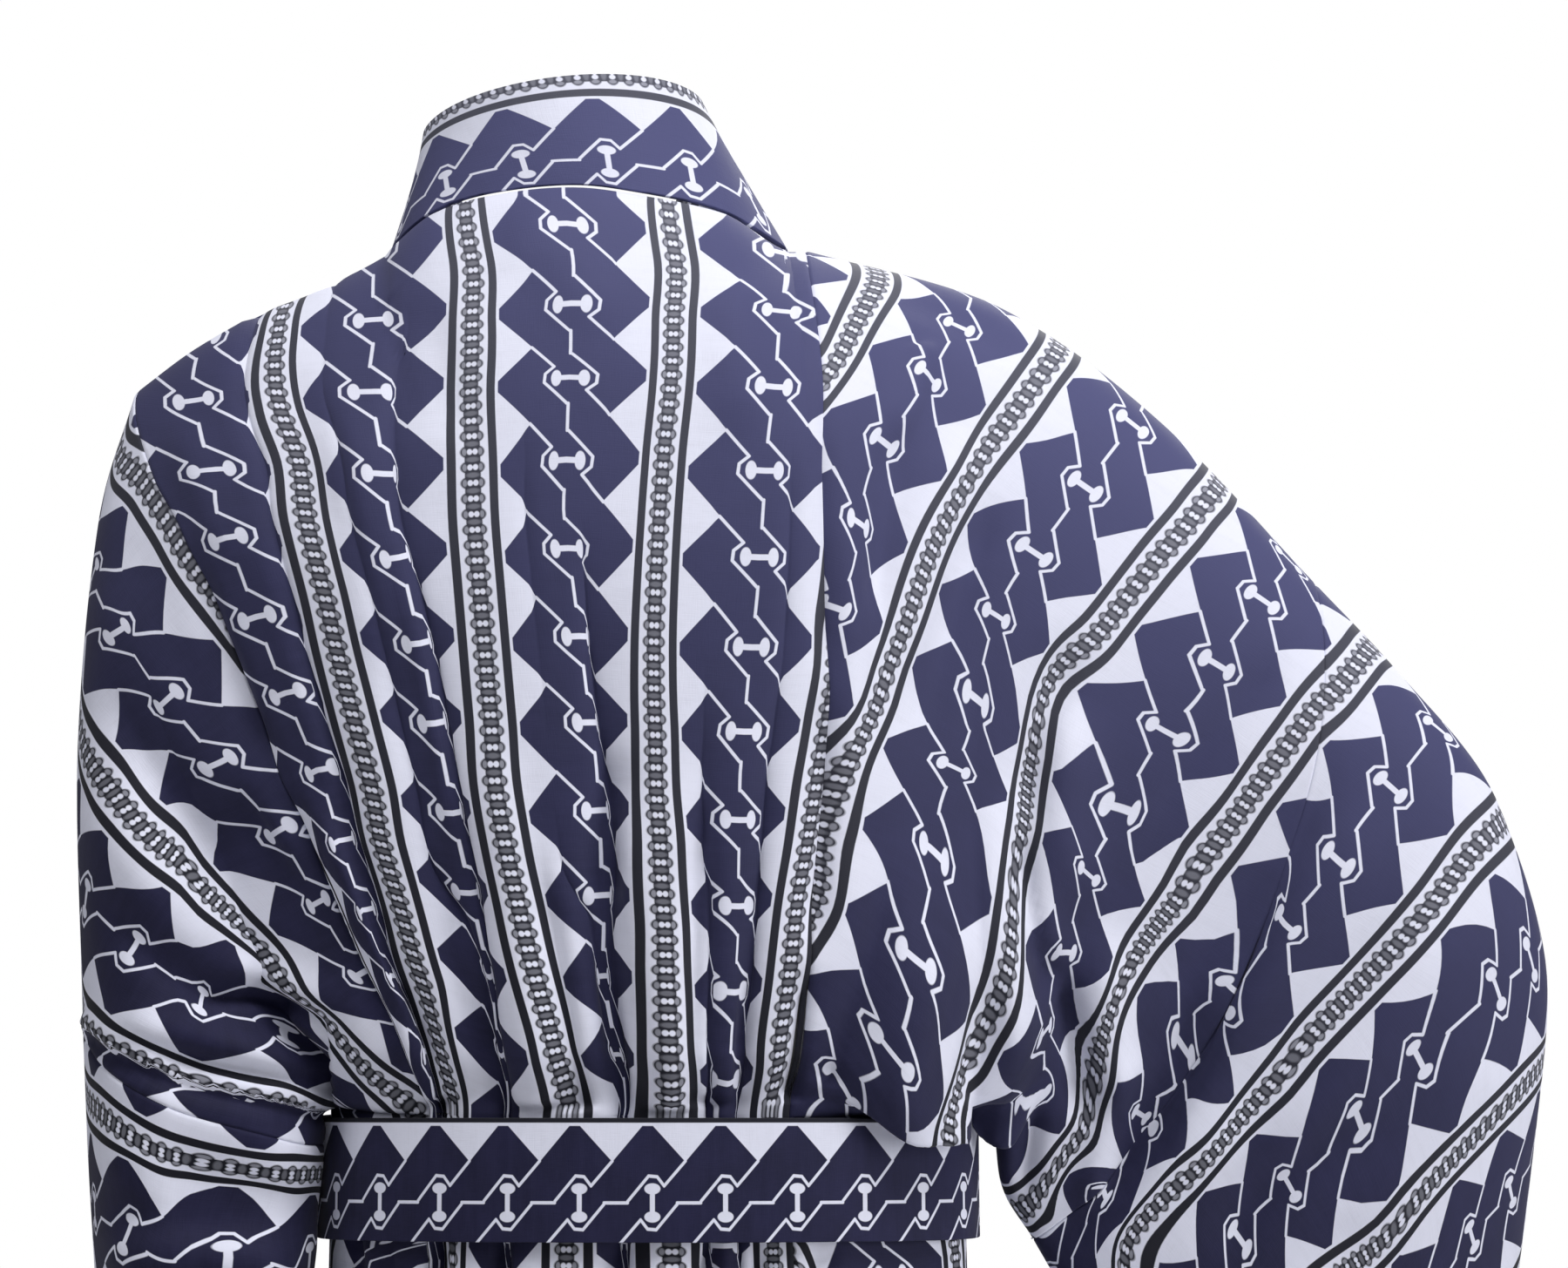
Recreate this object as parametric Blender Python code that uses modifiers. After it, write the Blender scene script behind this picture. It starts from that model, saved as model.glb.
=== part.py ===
"""A cotton yukata robe in its worn shape, held in at the waist by its own belt.

Metres, +Z up, the robe's front faces -Y, the wearer's left is +X. The origin is
on the line between the tops of the shoulders, under the middle of the neck.
"""

import math

import bmesh
import bpy
import numpy as np
from mathutils import Vector

# ---------------------------------------------------------------- driving sizes
WALL = 0.0012               # one layer of cloth
COLLAR_WALL = 0.0024        # the collar band is folded cloth with cloth between
BELT_WALL = 0.0018          # belt, knot and tails are sewn double and pressed
SEAM_GAP = 0.0003           # clear space between neighbouring pieces
UNDERARM_Z = -0.356
ROUND_DROP = 0.100          # drop over which the shoulders round into the back
SECTION_POWER = 2.3         # squareness of the body sections
SLEEVE_POWER = 2.6          # squareness of the sleeve rings
OVERLAP_DEPTH = 0.0080      # the left front lies this far outside the right front
NECK_HALF_WIDTH = 0.0850    # neck line of the back: half width, depth and middle
NECK_DEPTH = 0.0620
NECK_X = -0.0092
NECK_RADIUS = 0.0640        # the neck opening in front of the throat
COLLAR_WIDTH = 0.050
COLLAR_LIFT = 0.0013        # the standing part starts this far above the panels it joins
COLLAR_STANDING = {"left": (-0.0165, 0.0, 0.0480), "right": (0.0365, 0.0, 0.0600)}
COLLAR_END_Z = -0.650
FRONT_GATHER = 0.30         # gathers in front, against those behind
BELT_WIDTH = 0.0508
BELT_Z = -0.3810
BELT_DIP = 0.0085           # the belt sits this much lower at the sides
BELT_CLEAR = 0.0052         # from the cloth of the waist to the belt's outer face
KNOT_WIDTH, KNOT_HEIGHT, KNOT_DEPTH = 0.046, 0.044, 0.024
TAIL_WIDTH = 0.046

# ---------------------------------------------------------------- grid fineness
SKIRT_HEIGHTS = (-1.250, -1.110, -0.960, -0.820, -0.700,
                 -0.600, -0.525, -0.474, -0.434, -0.396)
SKIRT_ROWS = len(SKIRT_HEIGHTS)
BODICE_ROWS = 13            # underarm to shoulder
BACK_COLUMNS = 26
NECK_COLUMNS = (10, 25)     # columns of the back that meet the collar
COLLAR_COLUMNS = 4
FRONT_COLUMNS = 15
SIDE_COLUMNS = 5            # body seam to the line through the underarm
INNER_SLEEVE_COLUMNS = 5    # underarm line to the sleeve seam
OUTER_SLEEVE_COLUMNS = 9
BELT_SEGMENTS = 48


class Table:
    """Rows of named columns, read between the rows along a smooth curve."""

    def __init__(self, columns, rows):
        self.columns = columns.split()
        self.rows = sorted(rows)
        self.keys = np.array([row[0] for row in self.rows])
        self.curves = {}
        for place, column in enumerate(self.columns[1:], start=1):
            values = np.array([row[place] for row in self.rows])
            self.curves[column] = (values, self._slopes(values))

    def _slopes(self, values):
        steps = np.diff(self.keys)
        secants = np.diff(values) / steps
        slopes = np.empty(len(values))
        slopes[0], slopes[-1] = secants[0], secants[-1]
        for i in range(1, len(values) - 1):
            before, after = secants[i - 1], secants[i]
            if before * after <= 0.0:
                slopes[i] = 0.0
            else:
                w_before = 2.0 * steps[i] + steps[i - 1]
                w_after = steps[i] + 2.0 * steps[i - 1]
                slopes[i] = (w_before + w_after) / (w_before / before + w_after / after)
        return slopes

    def at(self, column, key):
        """Value of a column at a key, held constant past the first and last rows."""
        values, slopes = self.curves[column]
        key = min(max(key, self.keys[0]), self.keys[-1])
        i = int(min(np.searchsorted(self.keys, key, side="right") - 1, len(self.keys) - 2))
        step = self.keys[i + 1] - self.keys[i]
        t = (key - self.keys[i]) / step
        h00, h10 = (1 + 2 * t) * (1 - t) ** 2, t * (1 - t) ** 2
        h01, h11 = t * t * (3 - 2 * t), t * t * (t - 1)
        return float(h00 * values[i] + h10 * step * slopes[i]
                     + h01 * values[i + 1] + h11 * step * slopes[i + 1])


# Body sections by height: middle, half width, depth behind and in front, depth of
# the gathers.
SECTIONS = Table("z xc half back front gather", [
    (-1.250, -0.020, 0.222, 0.158, 0.146, 0.0090),
    (-0.900, -0.026, 0.202, 0.144, 0.132, 0.0075),
    (-0.600, -0.031, 0.178, 0.128, 0.116, 0.0070),
    (-0.460, -0.034, 0.146, 0.104, 0.102, 0.0062),
    (-0.430, -0.035, 0.135, 0.094, 0.095, 0.0014),
    (-0.352, -0.035, 0.134, 0.093, 0.095, 0.0012),
    (-0.328, -0.033, 0.146, 0.103, 0.102, 0.0010),
    (-0.290, -0.030, 0.163, 0.107, 0.106, 0.0000),
    (-0.230, -0.022, 0.185, 0.108, 0.109, 0.0000),
    (-0.150, -0.010, 0.207, 0.108, 0.106, 0.0000),
    (-0.050, 0.000, 0.220, 0.100, 0.086, 0.0000),
    (0.030, 0.003, 0.220, 0.084, 0.066, 0.0000),
])

# Where the long seams and the free front edges cross each height.
SEAMS = Table("z back_left back_right front_left front_right edge_left edge_right", [
    (-1.250, 0.1440, -0.1680, 0.1180, -0.1560, -0.1300, 0.0500),
    (-0.900, 0.1280, -0.1600, 0.1050, -0.1480, -0.1150, 0.0420),
    (-0.600, 0.1020, -0.1420, 0.0960, -0.1400, -0.0980, 0.0320),
    (-0.430, 0.0560, -0.0970, 0.0840, -0.1220, -0.0760, 0.0220),
    (-0.356, 0.0538, -0.0943, 0.0830, -0.1180, -0.0740, 0.0220),
    (-0.334, 0.0605, -0.0995, 0.0890, -0.1190, -0.0700, 0.0240),
    (-0.289, 0.0850, -0.1040, 0.1040, -0.1215, -0.0600, 0.0250),
    (-0.263, 0.0955, -0.1056, 0.1130, -0.1230, -0.0530, 0.0230),
    (-0.202, 0.1207, -0.1109, 0.1320, -0.1250, -0.0280, 0.0100),
    (-0.158, 0.1385, -0.1109, 0.1460, -0.1230, -0.0030, -0.0100),
    (-0.113, 0.1577, -0.1103, 0.1600, -0.1180, 0.0230, -0.0370),
    (-0.093, 0.1696, -0.1096, 0.1680, -0.1150, 0.0340, -0.0500),
    (-0.0555, 0.1813, -0.1086, 0.1813, -0.1100, 0.0540, -0.0710),
    (0.0037, 0.1813, -0.1017, 0.1813, -0.1017, 0.0759, -0.0944),
])

# Top edge of the back from the left sleeve to the right sleeve: shoulder line,
# seam with the collar round the neck, shoulder line.
BACK_TOP = Table("across x z", [
    (0.00, 0.1813, -0.0555),
    (0.09, 0.1560, -0.0370),
    (0.18, 0.1295, -0.0225),
    (0.27, 0.1073, -0.0140),
    (0.37, 0.0759, 0.0020),
    (0.45, 0.0530, 0.0174),
    (0.53, 0.0304, 0.0235),
    (0.66, -0.0060, 0.0266),
    (0.77, -0.0347, 0.0233),
    (0.88, -0.0671, 0.0171),
    (0.97, -0.0944, 0.0037),
    (1.00, -0.1017, 0.0037),
])

# Long soft folds of the back: where each lies across the panel, its width and depth.
BACK_FOLDS = [
    # name, across at shoulder, at waist, width, depth at waist, height where it starts
    ("inner left", 0.335, 0.235, 0.055, 0.0085, -0.060),
    ("centre", 0.625, 0.560, 0.050, 0.0095, -0.110),
    ("inner right", 0.920, 0.820, 0.050, 0.0070, -0.180),
    ("outer left", 0.080, 0.075, 0.040, 0.0075, -0.200),
]

# Rings of the inner sleeves, from the underarm to the sleeve seam. Each ring hangs
# between a point on the ridge and a point on the lower edge; half thickness near
# the arm and near the lower edge; turn and tilt of its back face; bow sideways.
RING_COLUMNS = "station ridge_x ridge_y ridge_z low_x low_y low_z arm bag turn tilt bow"
INNER_RIGHT = Table(RING_COLUMNS, [
    (1.0, -0.1739, 0.000, -0.0160, -0.1690, 0.000, -0.3560, 0.064, 0.062, 0.0, 0.0, 0.000),
    (1.4, -0.2050, 0.000, -0.0325, -0.1810, -0.001, -0.3640, 0.059, 0.050, 0.0, 0.0, -0.008),
    (2.0, -0.2520, 0.000, -0.0690, -0.1850, -0.004, -0.3910, 0.052, 0.034, 0.0, 0.0, -0.018),
    (3.0, -0.3178, 0.000, -0.1376, -0.1990, -0.010, -0.4160, 0.048, 0.026, 0.0, 0.0, -0.034),
])
OUTER_RIGHT = Table(RING_COLUMNS, [
    (3.0, -0.3178, 0.000, -0.1376, -0.1990, -0.010, -0.4160, 0.048, 0.026, 0.0, 0.0, -0.034),
    (3.7, -0.3520, 0.000, -0.1740, -0.2150, -0.018, -0.4440, 0.048, 0.024, 6.0, 0.0, -0.012),
    (4.6, -0.3930, -0.006, -0.2270, -0.2450, -0.034, -0.4980, 0.047, 0.022, 18.0, 4.0, 0.000),
    (5.4, -0.4080, -0.034, -0.2830, -0.3050, -0.066, -0.5660, 0.045, 0.021, 42.0, 8.0, 0.000),
    (6.1, -0.3900, -0.080, -0.3180, -0.3700, -0.104, -0.6220, 0.044, 0.020, 66.0, 6.0, 0.000),
    (7.0, -0.3760, -0.150, -0.3480, -0.3800, -0.164, -0.6560, 0.044, 0.020, 78.0, 0.0, 0.000),
])
INNER_LEFT = Table(RING_COLUMNS, [
    (1.0, 0.1968, 0.000, -0.1110, 0.0990, 0.000, -0.3560, 0.068, 0.064, 0.0, 0.0, 0.000),
    (2.0, 0.2060, -0.002, -0.2200, 0.1070, -0.009, -0.3585, 0.080, 0.076, 0.0, 0.0, 0.000),
    (3.0, 0.2054, -0.008, -0.3256, 0.1140, -0.022, -0.3670, 0.092, 0.088, 0.0, 5.0, 0.000),
])
OUTER_LEFT = Table(RING_COLUMNS, [
    (3.0, 0.2054, -0.008, -0.3256, 0.1140, -0.022, -0.3670, 0.092, 0.088, 0.0, 5.0, 0.000),
    (3.7, 0.2046, -0.018, -0.3800, 0.1175, -0.033, -0.4120, 0.100, 0.096, 0.0, 8.0, 0.000),
    (4.6, 0.2030, -0.036, -0.4400, 0.1300, -0.048, -0.4640, 0.107, 0.103, 0.0, 12.0, 0.000),
    (5.7, 0.2120, -0.056, -0.5060, 0.1500, -0.064, -0.5260, 0.111, 0.107, 0.0, 15.0, 0.000),
    (7.0, 0.2240, -0.076, -0.5860, 0.1700, -0.082, -0.6000, 0.113, 0.109, 0.0, 17.0, 0.000),
])

# Deep folds across the back face of the sleeves: place along the sleeve, angle
# from the ridge, reach in angle, width in stations and depth.
SLEEVE_FOLDS = [
    ("right", 3.05, 125.0, 42.0, 0.28, 0.0120),
    ("right", 2.25, 142.0, 32.0, 0.26, 0.0080),
    ("left", 2.70, 88.0, 46.0, 0.17, 0.0110),
    ("left", 3.30, 102.0, 46.0, 0.20, 0.0090),
    ("left", 4.40, 80.0, 50.0, 0.30, 0.0080),
]

# Belt tails: distance down the tail, place of its middle line, turn about Z.
TAIL_COLUMNS = "drop x y turn"
TAIL_A = Table(TAIL_COLUMNS, [
    (0.000, -0.0200, -0.1240, 3.0),
    (0.028, -0.0215, -0.1262, 3.0),
    (0.050, -0.0285, -0.1310, 6.0),
    (0.120, -0.0480, -0.1460, 8.0),
    (0.220, -0.0640, -0.1560, 8.0),
    (0.330, -0.0740, -0.1660, 6.0),
])
TAIL_B = Table(TAIL_COLUMNS, [
    (0.000, -0.0110, -0.1180, -3.0),
    (0.040, -0.0060, -0.1215, -6.0),
    (0.120, 0.0100, -0.1350, -10.0),
    (0.200, 0.0220, -0.1470, -10.0),
    (0.290, 0.0280, -0.1590, -8.0),
])
TAIL_TOP_Z = -0.398


# ---------------------------------------------------------------- body surface
def signed_power(value, power):
    return math.copysign(abs(value) ** power, value)


def gather(angle, z):
    """Depth of the waist gathers at an angle round the body, behind = 0."""
    depth = SECTIONS.at("gather", z)
    wave = 0.62 * math.cos(14 * angle + 0.4) + 0.38 * math.cos(9 * angle - 1.1)
    behind = 0.5 * (1.0 + math.cos(angle))
    return depth * wave * lerp(FRONT_GATHER, 1.0, behind)


def body_point(angle, z, outer=0.0):
    """Point of the closed body section: angle 0 behind, +90 degrees at the left."""
    power = 2.0 / SECTION_POWER
    sine, cosine = math.sin(angle), math.cos(angle)
    depth = SECTIONS.at("back", z) if cosine > 0.0 else SECTIONS.at("front", z) + outer
    x = SECTIONS.at("xc", z) + SECTIONS.at("half", z) * signed_power(sine, power)
    y = depth * signed_power(cosine, power)
    push = gather(angle, z)
    return Vector((x + push * sine, y + push * cosine, z))


def body_angle(x, z, behind):
    """Angle at which the body section passes over a given x."""
    reach = (x - SECTIONS.at("xc", z)) / SECTIONS.at("half", z)
    reach = max(-1.0, min(1.0, reach))
    angle = math.asin(signed_power(reach, SECTION_POWER / 2.0))
    return angle if behind else math.pi - angle


def lerp(a, b, t):
    return a + (b - a) * t


def round_over(top_y, section_y, drop):
    """Depth of the cloth as it rounds down from its top edge to the body section."""
    reach = 1.0 - min(drop / ROUND_DROP, 1.0)
    return top_y + (section_y - top_y) * math.sqrt(max(0.0, 1.0 - reach * reach))


def neck_y(x):
    """Depth of the neck line behind the shoulder line."""
    reach = min(1.0, abs((x - NECK_X) / NECK_HALF_WIDTH))
    return NECK_DEPTH * math.sqrt(1.0 - reach * reach)


def fold_depth(across, z):
    """Inward depth of the long folds of the back."""
    total = 0.0
    for _, at_shoulder, at_waist, width, depth, start in BACK_FOLDS:
        run = min(max((start - z) / (start + 0.330), 0.0), 1.0)
        middle = lerp(at_shoulder, at_waist, min(max((-0.060 - z) / 0.270, 0.0), 1.0))
        hold = 1.0 - 0.9 * min(max((-0.325 - z) / 0.030, 0.0), 1.0)
        total += depth * run * hold * math.exp(-((across - middle) / width) ** 2)
    edge = min(max(min(across, 1.0 - across) / 0.035, 0.0), 1.0)
    return total * edge


def outer_amount(z):
    """How far the left front lies outside the right front at a height."""
    return OVERLAP_DEPTH * min(max((-0.020 - z) / 0.080, 0.0), 1.0)


# ---------------------------------------------------------------- panel surfaces
def bodice_height(k):
    """Share of the way from the underarm up to the top edge for a row."""
    return 0.5 * (1.0 - math.cos(math.pi * k / BODICE_ROWS))


def back_upper(across, share):
    top_x, top_z = BACK_TOP.at("x", across), BACK_TOP.at("z", across)
    left_top, right_top = BACK_TOP.at("z", 0.0), BACK_TOP.at("z", 1.0)
    x_left = SEAMS.at("back_left", lerp(UNDERARM_Z, left_top, share))
    x_right = SEAMS.at("back_right", lerp(UNDERARM_Z, right_top, share))
    shift = top_x - lerp(BACK_TOP.at("x", 0.0), BACK_TOP.at("x", 1.0), across)
    z = lerp(UNDERARM_Z, top_z, share)
    angle_left = body_angle(SEAMS.at("back_left", UNDERARM_Z), UNDERARM_Z, True)
    angle_right = body_angle(SEAMS.at("back_right", UNDERARM_Z), UNDERARM_Z, True)
    low_x = body_point(lerp(angle_left, angle_right, across), UNDERARM_Z).x
    low_shift = low_x - lerp(SEAMS.at("back_left", UNDERARM_Z),
                             SEAMS.at("back_right", UNDERARM_Z), across)
    x = lerp(x_left, x_right, across) + shift * share ** 1.6 + low_shift * (1.0 - share) ** 3
    section = body_point(body_angle(x, z, True), z)
    top_y = neck_y(top_x) if top_z > 0.003 else 0.0
    y = round_over(top_y, section.y, top_z - z) - fold_depth(across, z)
    return Vector((x, y, z))


def back_lower(across, z):
    angle_left = body_angle(SEAMS.at("back_left", z), z, True)
    angle_right = body_angle(SEAMS.at("back_right", z), z, True)
    point = body_point(lerp(angle_left, angle_right, across), z)
    point.y -= fold_depth(across, z)
    return point


def front_top(side, across):
    """Top edge of a front: shoulder line from the sleeve seam to the collar."""
    if side == "left":
        run = lerp(0.0, 0.37, across)
        return BACK_TOP.at("x", run), BACK_TOP.at("z", run)
    run = lerp(1.0, 0.97, across)
    return BACK_TOP.at("x", run), BACK_TOP.at("z", run)


def front_upper(side, across, share):
    top_x, top_z = front_top(side, across)
    seam_top = front_top(side, 0.0)
    edge_top = front_top(side, 1.0)
    x_seam = SEAMS.at("front_" + side, lerp(UNDERARM_Z, seam_top[1], share))
    x_edge = SEAMS.at("edge_" + side, lerp(UNDERARM_Z, edge_top[1], share))
    shift = top_x - lerp(seam_top[0], edge_top[0], across)
    z = lerp(UNDERARM_Z, top_z, share)
    low_x = front_lower(side, across, UNDERARM_Z).x
    low_shift = low_x - lerp(SEAMS.at("front_" + side, UNDERARM_Z),
                             SEAMS.at("edge_" + side, UNDERARM_Z), across)
    x = lerp(x_seam, x_edge, across) + shift * share ** 1.6 + low_shift * (1.0 - share) ** 3
    outer = outer_amount(z) if side == "left" else 0.0
    section = body_point(body_angle(x, z, False), z, outer)
    return Vector((x, round_over(0.0, section.y, top_z - z), z))


def front_lower(side, across, z):
    seam = body_angle(SEAMS.at("front_" + side, z), z, False)
    edge = body_angle(SEAMS.at("edge_" + side, z), z, False)
    outer = outer_amount(z) if side == "left" else 0.0
    return body_point(lerp(seam, edge, across), z, outer)


def sleeve_fold(side, station, degrees):
    """How far the deep folds draw the back face of a sleeve inward."""
    total = 0.0
    for which, place, middle, reach, width, depth in SLEEVE_FOLDS:
        if which == side and abs(degrees - middle) < 2.5 * reach:
            along = (station - place) / width
            about = (degrees - middle) / reach
            total += depth * math.exp(-along * along - about * about)
    return total


def ring_point(rings, station, angle):
    """Point of a sleeve ring: angle 0 on the ridge, 90 degrees on its back face."""
    get = {name: rings.at(name, station) for name in rings.columns[1:]}
    ridge = Vector((get["ridge_x"], get["ridge_y"], get["ridge_z"]))
    low = Vector((get["low_x"], get["low_y"], get["low_z"]))
    middle, along = (ridge + low) / 2.0, (ridge - low)
    half_height = along.length / 2.0
    along.normalize()
    turn, tilt = math.radians(get["turn"]), math.radians(get["tilt"])
    side = 1.0 if get["ridge_x"] > 0.0 else -1.0
    back = Vector((side * math.sin(turn) * math.cos(tilt),
                   math.cos(turn) * math.cos(tilt),
                   -math.sin(tilt)))
    back = (back - along * back.dot(along)).normalized()
    outward = back.cross(along) * -side
    power = 2.0 / SLEEVE_POWER
    cosine, sine = math.cos(angle), math.sin(angle)
    upper = 0.5 * (1.0 + signed_power(cosine, power))
    thickness = lerp(get["bag"], get["arm"], upper)
    thickness -= sleeve_fold("left" if side > 0.0 else "right", station, math.degrees(angle))
    bow = get["bow"] * (1.0 - cosine * cosine) * side
    return (middle + along * half_height * signed_power(cosine, power)
            + back * thickness * signed_power(sine, power) + outward * bow * -1.0)


# ---------------------------------------------------------------- mesh building
def blend_columns(points, stations, station):
    """Smooth curve through points placed at rising stations."""
    tables = [Table("s v", [(s, p[axis]) for s, p in zip(stations, points)]) for axis in range(3)]
    return Vector([table.at("v", station) for table in tables])


def make_object(name, points, faces, wall, material, outward):
    """One solid of cloth: a sheet with its wall laid half on either side."""
    mesh = bpy.data.meshes.new(name)
    mesh.from_pydata([tuple(p) for p in points], [], faces)
    builder = bmesh.new()
    builder.from_mesh(mesh)
    bmesh.ops.recalc_face_normals(builder, faces=builder.faces)
    middle = builder.faces[len(faces) // 2]
    if middle.normal.dot(outward(middle.calc_center_median())) < 0.0:
        bmesh.ops.reverse_faces(builder, faces=builder.faces)
    builder.to_mesh(mesh)
    builder.free()
    mesh.materials.append(material)
    thing = bpy.data.objects.new(name, mesh)
    bpy.context.scene.collection.objects.link(thing)
    solid = thing.modifiers.new("wall", "SOLIDIFY")
    solid.thickness = wall
    solid.offset = 0.0
    solid.use_even_offset = True
    solid.use_rim = True
    return thing


def draw_in(grid, first_row=False, last_row=False, first_column=False, last_column=False):
    """Pull the named edges of a grid back by half a seam gap along the cloth."""
    half = SEAM_GAP * 0.7
    rows, columns = len(grid), len(grid[0])
    for j in range(rows):
        if first_column:
            grid[j][0] = grid[j][0] + (grid[j][1] - grid[j][0]).normalized() * half
        if last_column:
            grid[j][-1] = grid[j][-1] + (grid[j][-2] - grid[j][-1]).normalized() * half
    for i in range(columns):
        if first_row:
            grid[0][i] = grid[0][i] + (grid[1][i] - grid[0][i]).normalized() * half * 1.6
        if last_row:
            grid[-1][i] = grid[-1][i] + (grid[-2][i] - grid[-1][i]).normalized() * half * 1.6
    return grid


def grid_faces(rows, columns, closed=False):
    faces = []
    for j in range(rows - 1):
        for i in range(columns if closed else columns - 1):
            k = (i + 1) % columns
            low, high = j * columns, (j + 1) * columns
            faces.append((low + i, low + k, high + k, high + i))
    return faces


def panel(name, grid, wall, material, outward, closed=False):
    points = [point for row in grid for point in row]
    faces = grid_faces(len(grid), len(grid[0]), closed)
    return make_object(name, points, faces, wall, material, outward)


def build_back(material):
    grid = []
    for j in range(SKIRT_ROWS):
        z = SKIRT_HEIGHTS[j]
        grid.append([back_lower(i / BACK_COLUMNS, z) for i in range(BACK_COLUMNS + 1)])
    for k in range(BODICE_ROWS + 1):
        share = bodice_height(k)
        grid.append([back_upper(i / BACK_COLUMNS, share) for i in range(BACK_COLUMNS + 1)])
    draw_in(grid, last_row=True, first_column=True, last_column=True)
    return panel("back_panel", grid, WALL, material, lambda p: Vector((0.0, 1.0, 0.2)))


def build_front(side, material):
    grid = []
    for j in range(SKIRT_ROWS):
        z = SKIRT_HEIGHTS[j]
        grid.append([front_lower(side, i / FRONT_COLUMNS, z) for i in range(FRONT_COLUMNS + 1)])
    for k in range(BODICE_ROWS + 1):
        share = bodice_height(k)
        grid.append([front_upper(side, i / FRONT_COLUMNS, share) for i in range(FRONT_COLUMNS + 1)])
    draw_in(grid, last_row=True, first_column=True, last_column=True)
    return panel("front_" + side, grid, WALL, material, lambda p: Vector((0.0, -1.0, 0.2)))


def side_sheet(side, rings):
    """Points of a side strip by (column, row); rows run back hem, shoulder, front hem."""
    sign = 1.0 if side == "left" else -1.0
    back_across = 0.0 if side == "left" else 1.0
    columns = SIDE_COLUMNS + INNER_SLEEVE_COLUMNS
    last = 2 * SKIRT_ROWS + 2 * BODICE_ROWS
    points = {}
    for j in range(last + 1):
        behind = j <= last // 2
        step = j if behind else last - j
        if step < SKIRT_ROWS:
            z = SKIRT_HEIGHTS[step]
            seam = SEAMS.at(("back_" if behind else "front_") + side, z)
            start = body_angle(seam, z, behind)
            start = start if sign > 0.0 or behind else start - 2.0 * math.pi
            for i in range(SIDE_COLUMNS + 1):
                fraction = i / SIDE_COLUMNS
                outer = outer_amount(z) * (1.0 - fraction) if side == "left" else 0.0
                points[i, j] = body_point(lerp(start, sign * math.pi / 2.0, fraction), z, outer)
            continue
        share = bodice_height(step - SKIRT_ROWS)
        ring_angle = math.pi * (1.0 - (step - SKIRT_ROWS) / BODICE_ROWS)
        ring_angle = ring_angle if behind else -ring_angle
        if behind:
            first = back_upper(back_across, share)
        else:
            first = front_upper(side, 0.0, share)
        stations = [0.0] + list(rings.keys)
        controls = [first] + [ring_point(rings, s, ring_angle) for s in rings.keys]
        seam = SEAMS.at(("back_" if behind else "front_") + side, UNDERARM_Z)
        start = body_angle(seam, UNDERARM_Z, behind)
        start = start if sign > 0.0 or behind else start - 2.0 * math.pi
        low = [ring_point(rings, s, math.pi) for s in rings.keys]
        foot = back_upper(back_across, 0.0) if behind else front_upper(side, 0.0, 0.0)
        for i in range(columns + 1):
            if i <= SIDE_COLUMNS:
                station = i / SIDE_COLUMNS
            else:
                station = 1.0 + 2.0 * (i - SIDE_COLUMNS) / INNER_SLEEVE_COLUMNS
            point = blend_columns(controls, stations, station)
            if 0.0 < station < 1.0:
                outer = outer_amount(UNDERARM_Z) * (1.0 - station) if side == "left" else 0.0
                on_body = body_point(lerp(start, sign * math.pi / 2.0, station), UNDERARM_Z, outer)
                chord = blend_columns([foot] + low, stations, station)
                point = point + (on_body - chord) * (1.0 - share) ** 4
            points[i, j] = point
    return points, columns, last


def build_side(side, rings, material):
    points, columns, last = side_sheet(side, rings)
    half = SEAM_GAP * 0.7
    for j in range(last + 1):
        points[0, j] = points[0, j] + (points[1, j] - points[0, j]).normalized() * half
    for j in range(SKIRT_ROWS, last - SKIRT_ROWS + 1):
        points[columns, j] += (points[columns - 1, j] - points[columns, j]).normalized() * half * 1.6
    order, vertices, index = {}, [], {}
    for i, j in sorted(points):
        mirrored = last - j
        joined = (i, j)
        if j > last // 2 and i == SIDE_COLUMNS and mirrored <= SKIRT_ROWS:
            joined = (i, mirrored)
        if i > SIDE_COLUMNS and j == last - SKIRT_ROWS:
            joined = (i, SKIRT_ROWS)
        if joined not in order:
            order[joined] = len(vertices)
            vertices.append(points[joined])
        index[i, j] = order[joined]
    faces = []
    for j in range(last):
        for i in range(columns):
            corners = [(i, j), (i + 1, j), (i + 1, j + 1), (i, j + 1)]
            if all(corner in index for corner in corners):
                faces.append([index[corner] for corner in corners])
    sign = 1.0 if side == "left" else -1.0
    return make_object("side_" + side, vertices, faces, WALL, material,
                       lambda p: Vector((sign * 0.5, 1.0 if p.y > 0.0 else -1.0, 0.3)))


def build_sleeve(side, rings, material):
    around = 2 * BODICE_ROWS
    first, final = rings.keys[0], rings.keys[-1]
    grid = []
    for j in range(OUTER_SLEEVE_COLUMNS + 1):
        station = lerp(first, final, j / OUTER_SLEEVE_COLUMNS)
        grid.append([ring_point(rings, station, math.pi - math.pi * i / BODICE_ROWS)
                     for i in range(around)])
    draw_in(grid, first_row=True)
    axis = [sum((Vector(p) for p in row), Vector()) / around for row in grid]
    return panel("sleeve_" + side, grid, WALL, material,
                 lambda p: p - min(axis, key=lambda c: (c - p).length), closed=True)


def front_rows(side):
    """Points down the free edge of a front from the neck, with their heights."""
    rows = [front_upper(side, 1.0, bodice_height(k)) for k in range(BODICE_ROWS - 1, -1, -1)]
    below = [SKIRT_HEIGHTS[j] for j in range(SKIRT_ROWS - 1, -1, -1)]
    rows += [front_lower(side, 1.0, z) for z in below if z > COLLAR_END_Z]
    return rows


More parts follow.
